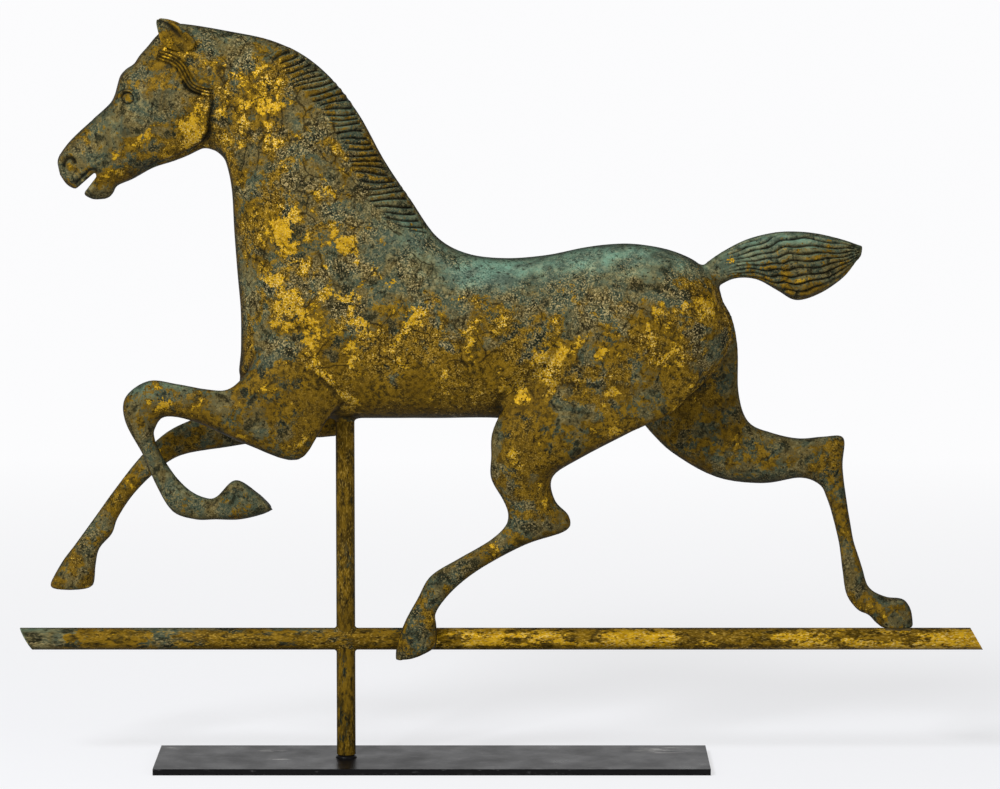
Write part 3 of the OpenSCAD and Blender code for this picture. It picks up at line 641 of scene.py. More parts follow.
# An edge all along the middle, where the halves part
bmesh.ops.bisect_plane(
    mesh, geom=mesh.verts[:] + mesh.edges[:] + mesh.faces[:], plane_co=(0, 0, 0),
    plane_no=(0, 1, 0), dist=1e-6)
bmesh.ops.triangulate(mesh, faces=[f for f in mesh.faces if len(f.verts) > 4])
mesh.to_mesh(trunk.data)
mesh.free()
trunk.data.update()


# Relief of the moulds: the face, the lock behind the ear, the mane's combed ridges,
# the tail's wavy strands, the muscles, and the small dents that the sheet has taken.

def line_offset(line, x, z, steps=4):
    """Distance in mm from a smooth line, and on which side of it each point lies."""
    line = smoothed(line, steps)
    best = np.full(len(x), 1e9)
    share = np.zeros(len(x))
    lengths = np.concatenate([[0], np.cumsum(np.hypot(*np.diff(line, axis=0).T))])
    for i, (a, b) in enumerate(zip(line, line[1:])):
        run = b - a
        t = np.clip(((x - a[0]) * run[0] + (z - a[1]) * run[1]) / (run @ run), 0, 1)
        away_x, away_z = x - a[0] - t * run[0], z - a[1] - t * run[1]
        gap = np.hypot(away_x, away_z)
        side = np.sign(run[0] * away_z - run[1] * away_x)
        nearer = gap < np.abs(best)
        best[nearer] = (gap * np.where(side == 0, 1, side))[nearer]
        share[nearer] = ((lengths[i] + t * (lengths[i + 1] - lengths[i])) / lengths[-1])[nearer]
    return best, share


points, edges, normals = mesh_arrays(trunk.data)
x, z = points[:, 0] / MM, points[:, 2] / MM
of_part = {name: distance_to(ribs, points) for name, ribs in parts.items()}
gaps = np.stack([np.abs(of_part[name][0]) for name in parts], 1)
owner = gaps.argmin(1)
on_trunk = owner == 0
facing = step(np.abs(normals[:, 1]), 0.2, 0.6)
raise_mm = np.zeros(len(points))
# Painted shade for the relief's creases, grooves and hollows, laid on by the gilding's dirt coat
soot = np.zeros(len(points))


def along_line(line, width, taper=0.12):
    """How near each point of the trunk is to a smooth line of this width in mm, from 0
    to 1, fading at the line's ends; and its signed distance from the line."""
    offset, share = line_offset(line, x, z)
    near_line = np.exp(-(offset / width) ** 2) * step(share, 0, taper) * step(1 - share, 0, taper)
    return near_line * on_trunk, offset


# Muscles and creases as [line, height in mm, width in mm]
muscles = [
    ([(-108, 560), (-92, 500), (-86, 430), (-98, 380)], -1.4, 10.0),
    ([(-40, 560), (0, 500), (40, 450), (52, 410)], -1.2, 14.0),
    ([(-70, 500), (-30, 460), (-8, 410), (-20, 372)], 1.8, 16.0),
    ([(146, 352), (160, 374), (182, 398), (206, 420), (216, 452)], -2.8, 9.0),
    ([(212, 392), (240, 420), (290, 440), (330, 425)], 2.2, 20.0),
    ([(330, 508), (360, 480), (372, 450)], 1.2, 12.0),
    ([(-120, 640), (-90, 580), (-66, 520)], 0.9, 14.0),
    ([(60, 372), (110, 366), (150, 372)], 0.8, 16.0),
    ([(-202, 711), (-188, 710), (-176, 705), (-170, 695)], 1.0, 4.0),
    ([(-244, 644), (-232, 648), (-222, 657)], 1.2, 5.0),
    ([(-222, 665), (-216, 657), (-212, 644), (-208, 636)], -1.3, 5.0),
    ([(-262, 632), (-240, 620), (-215, 612)], -0.8, 6.0),
    ([(-228, 689), (-220, 694), (-210, 693), (-203, 688)], 1.3, 4.0),
]
for line, height, width in muscles:
    raise_mm += height * along_line(line, width, 0.2)[0] * facing

# The cheek is a raised disc whose edge drops sharply to the throat and the neck
jaw = [(-134, 690), (-131, 676), (-132, 664), (-133.5, 655), (-135.5, 642), (-141, 633),
       (-151, 626.5), (-168, 618.5), (-186, 611.5), (-206, 603)]
near_jaw, offset = along_line(jaw, 15.0, 0.18)
raise_mm += 2.8 * near_jaw * np.tanh(-offset / 1.3) * facing
# Painted shade along the jaw's edge, and a painted shadow on the throat under the jaw
deep, offset = along_line(jaw, 2.2, 0.18)
soot += 0.55 * deep * (offset > -0.5) * facing
throat = np.hypot((x + 128) / 20, (z - 640) / 16)
soot += on_trunk * 0.3 * (1 - step(throat, 0.2, 1.0)) * (line_offset(jaw, x, z)[0] > 0) * facing
behind_jaw = np.hypot((x + 121) / 10, (z - 659) / 8)
raise_mm += np.where(on_trunk, 2.4 * (1 - step(behind_jaw, 0.5, 1.1)) * facing, 0)

# The eye: a socket, a ball in it, a heavy upper lid and a light lower one
socket = np.hypot((x + 214) / 13, (z - 676) / 12)
raise_mm -= on_trunk * 2.6 * (1 - step(socket, 0.3, 1.0)) * facing
ball_mm, ball_height, lid_mm = 5, 3.2, 7.2
eye_x, eye_z = (x + 215) / 1.12, z - 675.6
from_eye = np.hypot(eye_x, eye_z)
upper = step(eye_z / np.maximum(from_eye, 0.01), -0.35, 0.15)
eye_front = on_trunk * (from_eye < 14) * facing
raise_mm += eye_front * ball_height * np.sqrt(np.clip(1 - (from_eye / ball_mm) ** 2, 0, 1))
raise_mm += eye_front * (0.9 + 1.5 * upper) * np.exp(-((from_eye - lid_mm) / 1.1) ** 2)
# Painted shade in a ring round the ball, darker above it, and in a line above the upper lid
soot += eye_front * (0.50 + 0.45 * upper) * np.exp(-((from_eye - 5.7) / 0.8) ** 2)
soot += eye_front * 0.65 * upper * np.exp(-((from_eye - 9.0) / 0.8) ** 2)

# The nostril: a deep arc over a fleshy lower wing
nostril = [(-280.5, 605), (-279.6, 611.8), (-276.3, 615), (-272.3, 615.6), (-268.6, 613.2),
           (-267.2, 608.5)]
nostril_rim = [(-283.5, 606), (-282.5, 613.5), (-277.5, 618.5), (-271, 619), (-265, 615)]
raise_mm -= 3.0 * along_line(nostril, 2.3)[0]
# Painted shade in the nostril's arc
soot += along_line(nostril, 2.0)[0]
raise_mm += 1.6 * along_line(nostril_rim, 1.9)[0]
wing = np.hypot((x + 273.5) / 4.2, (z - 607) / 4.6)
raise_mm += on_trunk * 1.4 * (1 - step(wing, 0.3, 1.2)) * facing

# The lips: a fold over the mouth's corner, and the edge of the lower lip
fold = [(-270, 586.5), (-259, 598.2), (-253, 603.6), (-247.3, 603.8), (-245.2, 599)]
raise_mm -= 1.5 * along_line(fold, 1.8)[0]
# Painted shade in the fold
soot += 0.75 * along_line(fold, 1.6)[0]
raise_mm += 0.9 * along_line([(-274, 590), (-262, 602), (-253, 608.5), (-244, 607)], 2.2)[0]
raise_mm += 0.8 * along_line([(-254, 579), (-247, 590), (-240, 600)], 3.0)[0]

# The lock behind the ear: three strands that run down over the cheek, cut under
lock = [(-185, 718.5), (-176, 716), (-168, 713), (-160.6, 707), (-156, 699), (-150.7, 689.7),
        (-142.7, 684.8), (-128, 681.6)]
body, offset = along_line(lock, 7.5, 0.05)
body *= step(5.6 - np.abs(offset), 0, 1.2)
strand_mm = 3.2
strands = np.abs(np.sin(offset * math.pi / strand_mm + math.pi / 2)) ** 0.8
raise_mm += body * (1.4 + 2.4 * strands)
# Painted shade in the grooves between the strands
soot += body * (1 - strands) ** 0.8
undercut = [(-159.5, 694.5), (-154.7, 687.2), (-148.1, 681.8), (-139, 679.4)]
raise_mm -= 3.0 * along_line(undercut, 2.6)[0]
# Painted shade in the cut under the lock
soot += 0.9 * along_line(undercut, 2.0)[0]

# The mane: combed ridges parted by grooves, with a plain border along the crest and
# a ragged edge on the neck
ridge_count = 34
from_mane, down_mane, across_mane = distance_to(mane_ribs, points, 1.25)
comb = down_mane + 0.004 * np.sin(across_mane * 2.1 + down_mane * 40)
comb += 0.004 * np.sin(down_mane * 57)
groove = np.exp(-(np.sin(math.pi * ridge_count * comb) / 0.54) ** 2)
wavering = across_mane + 0.10 * np.sin(down_mane * 63) + 0.10 * np.sin(down_mane * 29 + 1)
wavering += 0.06 * np.sin(down_mane * 141)
in_mane = step(wavering, -1.12, -0.86) * (from_mane < 900) * step(down_mane, 0.0, 0.06) * on_trunk
in_mane *= step(1 - down_mane, 0.0, 0.03) * step(np.abs(normals[:, 1]), 0.05, 0.25)
combed = in_mane * step(0.93 - across_mane, 0.0, 0.12)
raise_mm += 0.8 * in_mane + combed * (0.5 - 2.8 * groove)
# Painted shade in the grooves between the ridges
soot += 0.42 * combed * groove
# Brighter gold on the mane's and the tail's crests, partly a painted highlight, and more verdigris
on_crests = combed * (1 - groove)

# The tail: wavy strands from the dock to the tip, parted by grooves
strand_count = 9
along_tail, across_tail = of_part["tail"][1:]
on_tail = (owner == 5) & (x > 372)
wave = across_tail + 0.20 * np.sin(7.6 * along_tail - 0.4) + 0.05 * np.sin(19 * along_tail + 1)
wave += 0.03 * np.sin(41 * along_tail + 5 * across_tail)
groove = np.exp(-(np.sin(wave * math.pi * strand_count / 2) / 0.48) ** 2)
fade = step(along_tail, 0.14, 0.36) * step(1 - along_tail, 0.02, 0.10)
fade *= step(np.abs(normals[:, 1]), 0.05, 0.35) * step(1 - np.abs(across_tail), 0.03, 0.16) * on_tail
raise_mm += fade * (1.0 - 3.0 * groove)
# Painted shade in the grooves between the strands
soot += 0.45 * fade * groove
on_crests += fade * (1 - groove)

# The near haunch ends in a rolled edge that stands over the far leg. Painted shade makes a
# dark line outside the edge and a painted shadow on the far leg below it
haunch = [(382, 480), (387, 457), (388, 437), (383.6, 420), (372, 403), (355.5, 386),
          (331.6, 366.3), (309, 352), (299, 345)]
offset, share = line_offset(haunch, x, z)
on_near = (points[:, 1] < 0) * step(share, 0.0, 0.15) * step(np.abs(normals[:, 1]), 0.1, 0.4)
edge = np.exp(-(offset / 9) ** 2) * on_near
raise_mm += edge * np.where(offset < 0, 1.3, 2.8) * np.tanh(-offset / 1.2)
raise_mm += 0.9 * np.exp(-((offset + 2.2) / 1.4) ** 2) * on_near
soot += np.exp(-((offset - 1.5) / 1.9) ** 2) * on_near
soot += 0.75 * np.exp(-(offset / 17) ** 2) * on_near * (offset > 0) * step(430 - z, 0, 30)
# A painted highlight of brighter gold along the rim
rolled = np.exp(-((offset + 2.2) / 1.3) ** 2) * on_near
# A crease across the breast, with painted shade in it
breast = [(-112, 388), (-94, 404), (-70, 418)]
raise_mm -= 1.6 * along_line(breast + [(-50, 420)], 3.5, 0.2)[0]
soot += 0.35 * along_line(breast, 2.5, 0.2)[0]

# Hands and weather wear the gold off unevenly: struck ridges keep a thin bright skin, partly
# a painted highlight on the ridges
ridged = np.clip(raise_mm, 0, 2.5) / 2.5 * on_trunk

# Dents and swells of the hammered sheet
dent_count = 170
draw = np.random.default_rng(7)
for seat in points[draw.integers(0, len(points), dent_count)]:
    width = draw.uniform(5, 16) * MM
    depth = draw.uniform(-0.55, 0.35)
    raise_mm += depth * np.exp(-((points - seat) ** 2).sum(1) / width ** 2)

# The soldered seam stands up a hair along the middle
seam_height = 0.3
on_seam = (np.abs(points[:, 1]) < 1e-6) & ((owner == 0) | (owner == 5))
raise_mm[on_seam] += seam_height
points = points + normals * (raise_mm * MM)[:, None]
points[on_seam, 1] = 0
store_points()
points, edges, normals = mesh_arrays(trunk.data)


# The horse was gilded over size as one piece. Whole leaf has stayed in some places,
# gold was rubbed thin in others, and between them the copper went green and dark.

# Each patch is (x, z, half length, half height, amount), in mm on the horse's side
leaf_patches = [
    (-225, 655, 60, 70, -0.20), (-147, 652, 11, 20, 0.30), (-123, 657, 9, 8, 0.42),
    (-197, 640, 8, 8, 0.42), (-227, 620, 8, 11, 0.36), (-190, 689, 9, 6, 0.12),
    (-192, 710, 9, 3, 0.25), (-156, 681, 7, 7, 0.26), (-57, 670, 12, 6, 0.38),
    (-81, 664, 7, 6, 0.28), (-68, 640, 13, 14, 0.36), (-44, 634, 9, 7, 0.40),
    (-21, 615, 5, 5, 0.45), (0, 611, 5, 7, 0.30), (-59, 612, 9, 6, 0.30), (-53, 596, 10, 8, 0.40),
    (-14, 600, 9, 6, 0.32), (-12, 585, 18, 8, 0.44), (-99, 625, 10, 12, 0.22),
    (-82, 688, 9, 12, 0.16), (-104, 732, 9, 5, 0.25), (-88, 709, 6, 9, 0.25),
    (-52, 563, 11, 10, 0.44), (-58, 538, 14, 17, 0.48), (4, 530, 12, 11, 0.55),
    (-73, 497, 11, 7, 0.50), (-54, 474, 12, 15, 0.50), (-17, 484, 9, 9, 0.44),
    (4, 479, 11, 10, 0.44), (20, 454, 12, 13, 0.52), (10, 429, 9, 9, 0.38), (32, 503, 6, 10, 0.44),
    (48, 496, 8, 8, 0.38), (-33, 436, 12, 8, 0.42), (75, 467, 8, 10, 0.50), (64, 452, 5, 10, 0.42),
    (66, 519, 4, 4, 0.40), (119, 446, 10, 11, 0.42), (117, 478, 6, 5, 0.32), (100, 474, 6, 4, 0.24),
    (195, 421, 22, 6, 0.46), (205, 429, 13, 10, 0.30), (200, 406, 13, 7, 0.42),
    (180, 381, 13, 15, 0.34), (238, 441, 9, 8, 0.42), (255, 423, 8, 6, 0.48),
    (236, 396, 14, 13, 0.30), (260, 384, 14, 10, 0.32), (295, 416, 13, 10, 0.32),
    (313, 464, 6, 5, 0.46), (351, 446, 7, 10, 0.34), (269, 474, 12, 9, 0.18),
    (337, 470, 12, 8, 0.28), (369, 426, 7, 8, 0.24), (-25, 500, 50, 90, 0.19),
    (-100, 470, 14, 70, -0.10), (150, 350, 10, 12, 0.16), (438, 525, 15, 4, 0.36),
    (384, 512, 13, 5, 0.36), (-180, 382, 14, 10, 0.20), (457, 493, 11, 6, 0.52),
    (440, 505, 20, 3, 0.20), (-272, 608, 20, 16, -0.30), (-250, 588, 14, 10, -0.30),
    (-110, 385, 14, 10, 0.14), (100, 180, 20, 16, 0.16), (556, 146, 30, 14, 0.14),
    (150, 505, 120, 22, -0.30), (300, 516, 90, 20, -0.26), (-165, 705, 14, 14, -0.20),
    (-215, 676, 12, 10, -0.20), (-49, 517, 7, 5, 0.40), (-72, 489, 8, 9, 0.40),
    (-67, 454, 9, 6, 0.40), (-41, 463, 6, 8, 0.35), (15, 514, 6, 5, 0.40), (-12, 508, 8, 4, 0.30),
    (34, 423, 4, 4, 0.35), (-91, 523, 5, 6, 0.25), (-95, 425, 7, 12, 0.20), (-66, 386, 9, 9, 0.40),
    (-60, 349, 9, 10, 0.30), (-182, 373, 12, 6, 0.30), (-189, 320, 5, 10, 0.30),
    (-115, 268, 14, 6, 0.20), (170, 302, 8, 16, 0.30), (195, 265, 12, 14, 0.26),
    (243, 346, 8, 8, 0.30), (-192, 703, 16, 9, -0.25), (-170, 690, 26, 22, -0.10),
    (-75, 690, 44, 36, -0.04),
]
wash_patches = [
    (60, 386, 130, 50, 0.44), (-40, 400, 60, 44, 0.22), (150, 404, 60, 34, 0.22),
    (-60, 540, 40, 90, 0.14), (330, 420, 50, 60, 0.12), (270, 380, 60, 40, 0.12),
    (-150, 640, 24, 30, 0.14), (-60, 640, 50, 50, 0.10), (140, 505, 120, 26, -0.42),
    (300, 516, 100, 22, -0.34), (230, 470, 50, 30, -0.04), (190, 300, 40, 60, 0.20),
    (-30, 350, 60, 20, 0.10), (-215, 650, 26, 20, -0.12), (340, 340, 60, 40, 0.10),
    (-110, 345, 30, 20, 0.10), (-10, 660, 26, 40, -0.08), (60, 550, 40, 40, -0.22),
    (-215, 665, 60, 60, -0.12), (-228, 651, 10, 14, -0.30), (-172, 676, 9, 12, -0.40),
    (-75, 700, 40, 22, 0.02), (220, 300, 40, 30, 0.12), (-64, 427, 21, 15, -0.55),
    (-12, 420, 8, 9, -0.45), (49, 401, 10, 9, -0.50), (-7, 562, 17, 6, -0.40),
    (70, 530, 16, 18, -0.34), (-110, 706, 13, 18, -0.26), (-50, 653, 6, 9, -0.42),
    (-50, 624, 17, 5, -0.50), (-38, 600, 8, 6, -0.48), (222, 364, 14, 10, -0.50),
    (278, 447, 6, 8, -0.42), (241, 423, 7, 7, -0.40), (320, 480, 22, 8, -0.42),
    (356, 410, 14, 5, -0.42), (-185, 660, 10, 14, -0.30), (-204, 662, 12, 8, -0.30),
    (-95, 485, 8, 50, -0.28), (-200, 605, 26, 7, -0.25), (150, 436, 12, 10, -0.30),
    (113, 492, 30, 8, -0.30), (-272, 610, 22, 16, -0.36), (-250, 588, 14, 10, -0.36),
    (465, 482, 56, 14, 0.30), (430, 505, 40, 8, 0.22), (-85, 557, 14, 12, 0.30),
    (-95, 425, 7, 12, 0.30), (-165, 355, 45, 10, 0.30), (-84, 349, 10, 9, -0.55),
    (215, 385, 12, 18, -0.50), (247, 364, 14, 8, -0.50), (190, 298, 6, 6, -0.55),
    (178, 271, 8, 6, -0.50), (188, 249, 12, 5, -0.50), (154, 231, 9, 8, -0.50),
    (152, 336, 6, 20, -0.45), (-190, 701, 15, 4, -0.40), (-215, 675.6, 6, 6, 0.20),
    (-75, 690, 44, 34, -0.08), (-250, 625, 20, 16, -0.14),
]
green_patches = [
    (140, 500, 46, 15, 0.60), (60, 545, 44, 34, 0.22), (250, 525, 130, 16, 0.40),
    (230, 505, 60, 16, 0.20), (10, 672, 34, 40, 0.18), (-120, 704, 60, 18, 0.06),
    (-205, 386, 46, 12, 0.30), (450, 534, 60, 8, 0.24), (-230, 655, 22, 20, 0.10),
    (400, 505, 40, 14, 0.20), (320, 496, 40, 16, 0.16), (-160, 290, 20, 20, 0.12),
    (-100, 250, 20, 20, 0.16), (-95, 470, 8, 60, 0.18), (70, 528, 16, 16, 0.12),
    (-195, 665, 18, 10, 0.12),
]
polished_patches = [
    (-215, 676, 13, 11, 0.30), (-160, 702, 22, 20, 0.55), (-272, 608, 16, 14, 0.45),
    (-255, 596, 16, 12, 0.35), (70, 380, 90, 26, 0.45), (195, 430, 20, 14, 0.30),
    (-225, 645, 75, 75, 0.80), (-60, 475, 16, 30, 0.35), (300, 400, 60, 50, 0.25),
    (240, 510, 120, 30, 0.30),
]
x, z = points[:, 0] / MM, points[:, 2] / MM
gaps = np.stack([np.abs(of_part[name][0]) for name in parts], 1)
for turn in range(12):
    gaps = neighbour_mean(gaps, edges)
owner = gaps.argmin(1)


def spread(patches, base):
    """The even share of each part with the patches laid over it, for each point."""
    total = np.array(base)[owner]
    for px, pz, rx, rz, amount in patches:
        total = total + amount * np.exp(-((x - px) / rx) ** 2 - ((z - pz) / rz) ** 2)
    return total


# Painted shade darkens the hollows of the modelling, which smoothing would fill
relaxed = points
for turn in range(24):
    relaxed = neighbour_mean(relaxed, edges)
hollow = ((relaxed - points) * normals).sum(1) / MM
soot += 0.6 * step(hollow, 0.08, 0.8)

# Painted shade in dark places of the head: under the eye, in the cheek, on the chin, along the nose
head_shade_patches = [
    (-218, 642, 9, 8, 0.50), (-175, 672, 10, 15, 0.35), (-188, 650, 9, 12, 0.30),
    (-212, 607, 15, 9, 0.50), (-245, 600, 10, 9, 0.35), (-196, 700, 20, 6, 0.30),
]
soot += spread(head_shade_patches, [0] * len(parts)) * facing
soot += 0.40 * along_line([(-280, 617), (-262, 640), (-238, 660), (-225, 676)], 4.5, 0.2)[0]

# The even shares are those of the trunk, near foreleg, far foreleg, near hind leg, far
# hind leg and tail
shares = {
    "leaf_left": (spread(leaf_patches, [0.16, 0.05, 0.05, 0.10, 0.04, 0.00])
                  + 0.06 * ridged + 0.30 * rolled),
    "rubbed": (spread(wash_patches, [0.46, 0.34, 0.48, 0.50, 0.46, 0.14])
               + 0.14 * ridged + 0.14 * on_crests + 0.40 * rolled),
    "greened": spread(green_patches, [0.02, 0.10, 0.02, 0.02, 0.00, 0.06]) + 0.12 * on_crests,
    # Painted shade makes the legs darker all over, the far hind leg most
    "soot": np.clip(soot + spread([], [0, 0.20, 0.06, 0.16, 0.22, 0]), 0, 1),
    "polished": np.clip(spread(polished_patches, [0.05, 0.75, 0.55, 0.50, 0.60, 0.60])
                        + 0.3 * on_crests, 0, 1),
}
horse_copper = gilded_copper(
    "moulded_copper_gilded_weathered", left="leaf_left", rubbed="rubbed", green="greened",
    dirt_and_shade="soot", polish="polished")


# The one skin is parted again where the real sheets meet: two body halves, two tail
# halves and four legs. Each is closed across its open edge, inside the horse.

loop_points = np.empty(len(trunk.data.loops), int)
trunk.data.loops.foreach_get("vertex_index", loop_points)
starts = np.empty(len(trunk.data.polygons), int)
trunk.data.polygons.foreach_get("loop_start", starts)
sizes = np.diff(np.append(starts, len(loop_points)))
face_owner = (np.add.reduceat(gaps[loop_points], starts) / sizes[:, None]).argmin(1)
face_y = np.add.reduceat(points[loop_points, 1], starts) / sizes


def part_piece(name, chosen):
    """The chosen faces of the skin as a closed piece, shaded as one with its neighbours."""
    faces = [loop_points[s:s + n] for s, n in zip(starts[chosen], sizes[chosen])]
    used = np.unique(np.concatenate(faces))
    renumber = np.zeros(len(points), int)
    renumber[used] = np.arange(len(used))
    data = bpy.data.meshes.new(name)
    data.from_pydata(points[used].tolist(), [], [renumber[face].tolist() for face in faces])
    mesh = bmesh.new()
    mesh.from_mesh(data)
    rim = [edge for edge in mesh.edges if edge.is_boundary]
    caps = bmesh.ops.holes_fill(mesh, edges=rim, sides=0)["faces"]
    bmesh.ops.triangulate(mesh, faces=caps, ngon_method="EAR_CLIP")
    mesh.to_mesh(data)
    mesh.free()
    for share, values in shares.items():
        data.attributes.new(share, "FLOAT", "POINT").data.foreach_set("value", values[used])
    data.polygons.foreach_set("use_smooth", [i < len(faces) for i in range(len(data.polygons))])
    corner_normals = []
    for face in data.polygons:
        if face.index < len(faces):
            corner_normals += [normals[used[v]] for v in face.vertices]
        else:
            corner_normals += [face.normal] * len(face.vertices)
    data.normals_split_custom_set(corner_normals)
    data.materials.append(horse_copper)
    piece = bpy.data.objects.new(name, data)
    bpy.context.scene.collection.objects.link(piece)
    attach(piece, "vane")
    return piece


for number, name in enumerate(parts):
    if name in ("trunk", "tail"):
        shell = "body" if name == "trunk" else "tail"
        for side, on_side in (("near", face_y < 0), ("far", face_y >= 0)):
            piece = part_piece(f"{shell}_{side}_half", (face_owner == number) & on_side)
            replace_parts(piece, f"{shell}_{side}_shell")
    else:
        piece = part_piece(f"{name}_moulded", face_owner == number)
        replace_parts(piece, f"{name}_outer", f"{name}_inner")
bpy.data.objects.remove(trunk)


# Each ear is a small leaf of the same sheet, cupped over a bead punch and soldered to
# the side of the head with its hollow outwards.

ear_rows = [
    # front x, front z, back x, back z, rim y, depth of the cup, thickness behind it
    [-185.0, 752.9, -183.6, 753.4, 17, 0.3, 1.2],
    [-185.3, 749.5, -175.0, 752.2, 19, 1.6, 1.4],
    [-184.0, 743.5, -164.5, 748.2, 22, 3.2, 2.5],
    [-182.4, 737.5, -155.2, 741.4, 25, 4.6, 5.0],
    [-180.6, 731.8, -147.8, 734.8, 27, 5.0, 8.0],
    [-176.5, 727.2, -146.0, 729.0, 27, 4.2, 10.0],
    [-170.0, 723.8, -149.6, 723.8, 26, 2.5, 11.0],
    [-163.0, 722.2, -156.5, 722.0, 24, 1.0, 10.0],
]


def ear(name, side):
    """One cupped ear on this side, -1 near and 1 far."""
    rows = smoothed(ear_rows, 4)
    columns = 25
    cross = np.linspace(0, 1, columns)
    # The cup is deepest near the back rim, which curls over it
    cup_shape = np.sin(math.pi * cross ** 1.3) ** 0.8
    rim_curl = np.exp(-((cross - 0.86) / 0.10) ** 2)
    mesh = bmesh.new()
    skins = []
    for behind in (0, 1):
        skins.append([[mesh.verts.new((
            (fx + (bx - fx) * t) * MM,
            side * (rim + (1 - behind) * 0.5 * depth * (curl - 1.6 * cup)
                    - behind * (depth + thickness * math.sin(math.pi * (0.06 + 0.88 * t)))) * MM,
            (fz + (bz - fz) * t) * MM))
            for t, cup, curl in zip(cross, cup_shape, rim_curl)]
            for fx, fz, bx, bz, rim, depth, thickness in rows])
    cup, back = skins
    join_rows(mesh, cup, closed=False)
    join_rows(mesh, back, closed=False)
    last_row, last_column = len(rows) - 1, columns - 1
    edge_of = [(0, k) for k in range(last_column)]
    edge_of += [(i, last_column) for i in range(last_row)]
    edge_of += [(last_row, k) for k in range(last_column, 0, -1)]
    edge_of += [(i, 0) for i in range(last_row, 0, -1)]
    for (i, k), (j, m) in zip(edge_of, edge_of[1:] + edge_of[:1]):
        mesh.faces.new((cup[i][k], cup[j][m], back[j][m], back[i][k]))
    bmesh.ops.recalc_face_normals(mesh, faces=mesh.faces)
    piece = new_object(name, mesh)
    piece.data.shade_smooth()
    piece.data.materials.append(horse_copper)
    down = np.linspace(0, 1, len(rows))[:, None]
    # Painted shade inside the cup, strongest in a band towards the back rim and in the upper part; none
    # on the back
    hollow = np.exp(-((cross - 0.66) / 0.12) ** 2) + 0.25 * cup_shape
    inside = (hollow * (1 - 0.8 * step(down, 0.35, 0.75))).ravel()
    dark = np.concatenate([np.clip(inside, 0, 1), 0 * inside])
    ear_shares = {
        "leaf_left": 0 * dark, "rubbed": 0 * dark + 0.52, "greened": 0 * dark, "soot": dark,
        "polished": 0 * dark + 0.6}
    for share, values in ear_shares.items():
        piece.data.attributes.new(share, "FLOAT", "POINT").data.foreach_set("value", values)
    rounding = piece.modifiers.new("rolled rim", "SUBSURF")
    rounding.levels = 1
    rounding.render_levels = 1
    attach(piece, "vane")
    return piece


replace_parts(ear("near_ear_leaf", -1), "near_ear")
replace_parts(ear("far_ear_leaf", 1), "far_ear")


# The studio: a white paper sweep under and behind the stand, a large soft lamp at the
# upper left, a weaker one at the right, and an even white surround.

def paper_sweep():
    """White paper that shows nearly white and keeps a faint shadow."""
    material, tree = start_material("white_paper_sweep")
    rays = add_node(tree, "ShaderNodeLightPath").node.outputs
    seen = rays["Is Camera Ray"]
    for ray in ("Is Glossy Ray", "Is Transmission Ray"):
        seen = add_node(tree, "ShaderNodeMath", {0: seen, 1: rays[ray]}, operation="MAXIMUM")
    lit = add_node(tree, "ShaderNodeBsdfDiffuse", {"Color": to_linear("#eef0f7")})
    glow = add_node(tree, "ShaderNodeEmission", {"Color": to_linear("#fefeff"), "Strength": 1.0})
    place = add_node(tree, "ShaderNodeTexCoord", out="Object")
    depth = add_node(tree, "ShaderNodeSeparateXYZ", {0: place}, out="Y")
    level = add_node(tree, "ShaderNodeMapRange", {
        "Value": depth, "From Min": 0.2, "From Max": 2.4, "To Min": 0.65, "To Max": 0.97})
    share = add_node(tree, "ShaderNodeMath", {0: seen, 1: level}, operation="MULTIPLY")
    paper = add_node(tree, "ShaderNodeMixShader", {0: share, 1: lit, 2: glow})
    add_node(tree, "ShaderNodeOutputMaterial", {"Surface": paper})
    return material


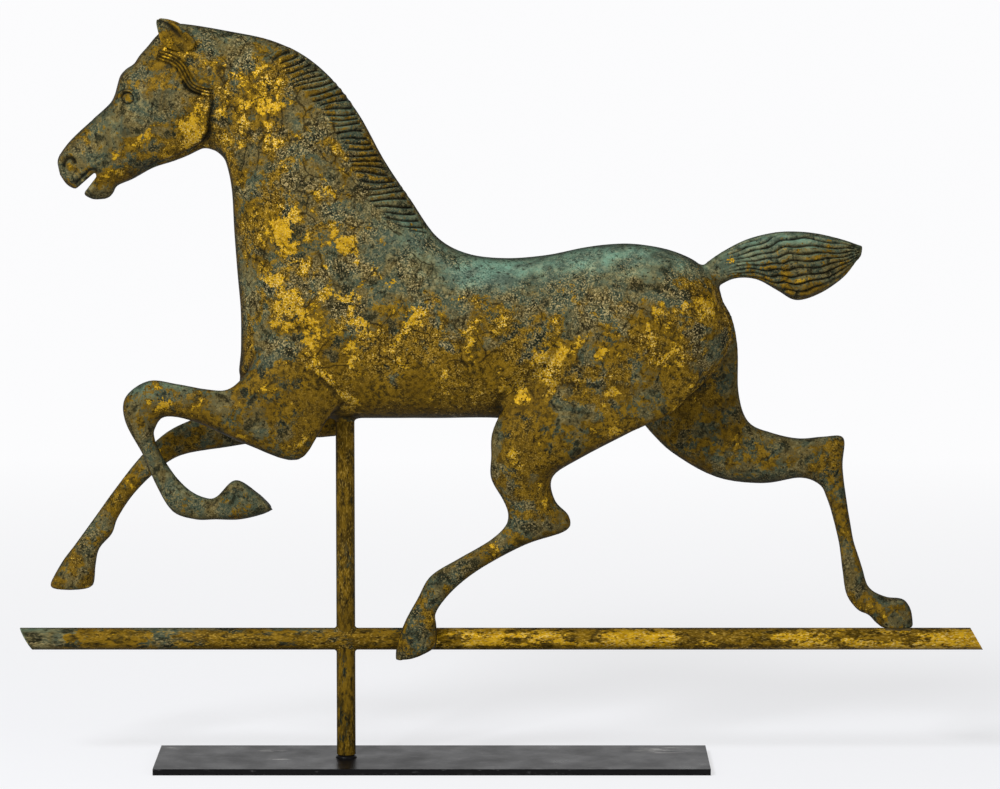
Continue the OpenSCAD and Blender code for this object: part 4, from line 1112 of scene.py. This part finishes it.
half_wide, bend_start, bend_radius, wall_top = 9.0, 8.0, 1.6, 6.0
under_plate = -0.0004
profile = [(-half_wide, 0.0), (bend_start, 0.0)]
profile += [(bend_start + bend_radius * math.sin(a), bend_radius - bend_radius * math.cos(a))
            for a in np.linspace(0.1, math.pi / 2, 14)]
profile += [(bend_start + bend_radius, wall_top)]
sweep_mesh = bmesh.new()
join_rows(sweep_mesh, [
    [sweep_mesh.verts.new((x, y, z + under_plate)) for x in (-half_wide, half_wide)]
    for y, z in profile], closed=False)
sweep = new_object("paper_sweep", sweep_mesh)
sweep.data.shade_smooth()
sweep.data.materials.append(paper_sweep())


def lamp(name, place, aim, width, watts):
    """A square soft lamp at a place, turned towards an aim."""
    data = bpy.data.lights.new(name, "AREA")
    data.size = width
    data.energy = watts
    light = bpy.data.objects.new(name, data)
    bpy.context.scene.collection.objects.link(light)
    light.location = place
    light.rotation_euler = (Vector(aim) - Vector(place)).to_track_quat("-Z", "Y").to_euler()


lamp("key", (-1.7, -2.9, 3.0), (0.15, 0, 0.4), 1.2, 165)
lamp("fill", (2.6, -3.0, 1.4), (0.15, 0, 0.35), 2.0, 20)

world = bpy.data.worlds.new("white surround")
bpy.context.scene.world = world
world.use_nodes = True
tree = world.node_tree
tree.nodes.clear()
rays = add_node(tree, "ShaderNodeLightPath").node.outputs
seen = add_node(tree, "ShaderNodeMath", {
    0: rays["Is Camera Ray"], 1: rays["Is Transmission Ray"]}, operation="MAXIMUM")
level = add_node(tree, "ShaderNodeMapRange", {"Value": seen, "To Min": 0.3, "To Max": 1.0})
surround = add_node(tree, "ShaderNodeBackground", {
    "Color": to_linear("#ffffff"), "Strength": level})
add_node(tree, "ShaderNodeOutputWorld", {"Surface": surround})

# The camera stands where the plate's corners and its known size put it
tilt_down = 6.571
camera_data = bpy.data.cameras.new("camera")
camera_data.sensor_width = 36
camera_data.lens = 169.4
camera = bpy.data.objects.new("camera", camera_data)
bpy.context.scene.collection.objects.link(camera)
camera.location = (0.1559, -4.700, 0.918)
camera.rotation_euler = (math.radians(90 - tilt_down), 0, 0)
bpy.context.scene.camera = camera

bpy.context.scene.view_settings.view_transform = "Standard"
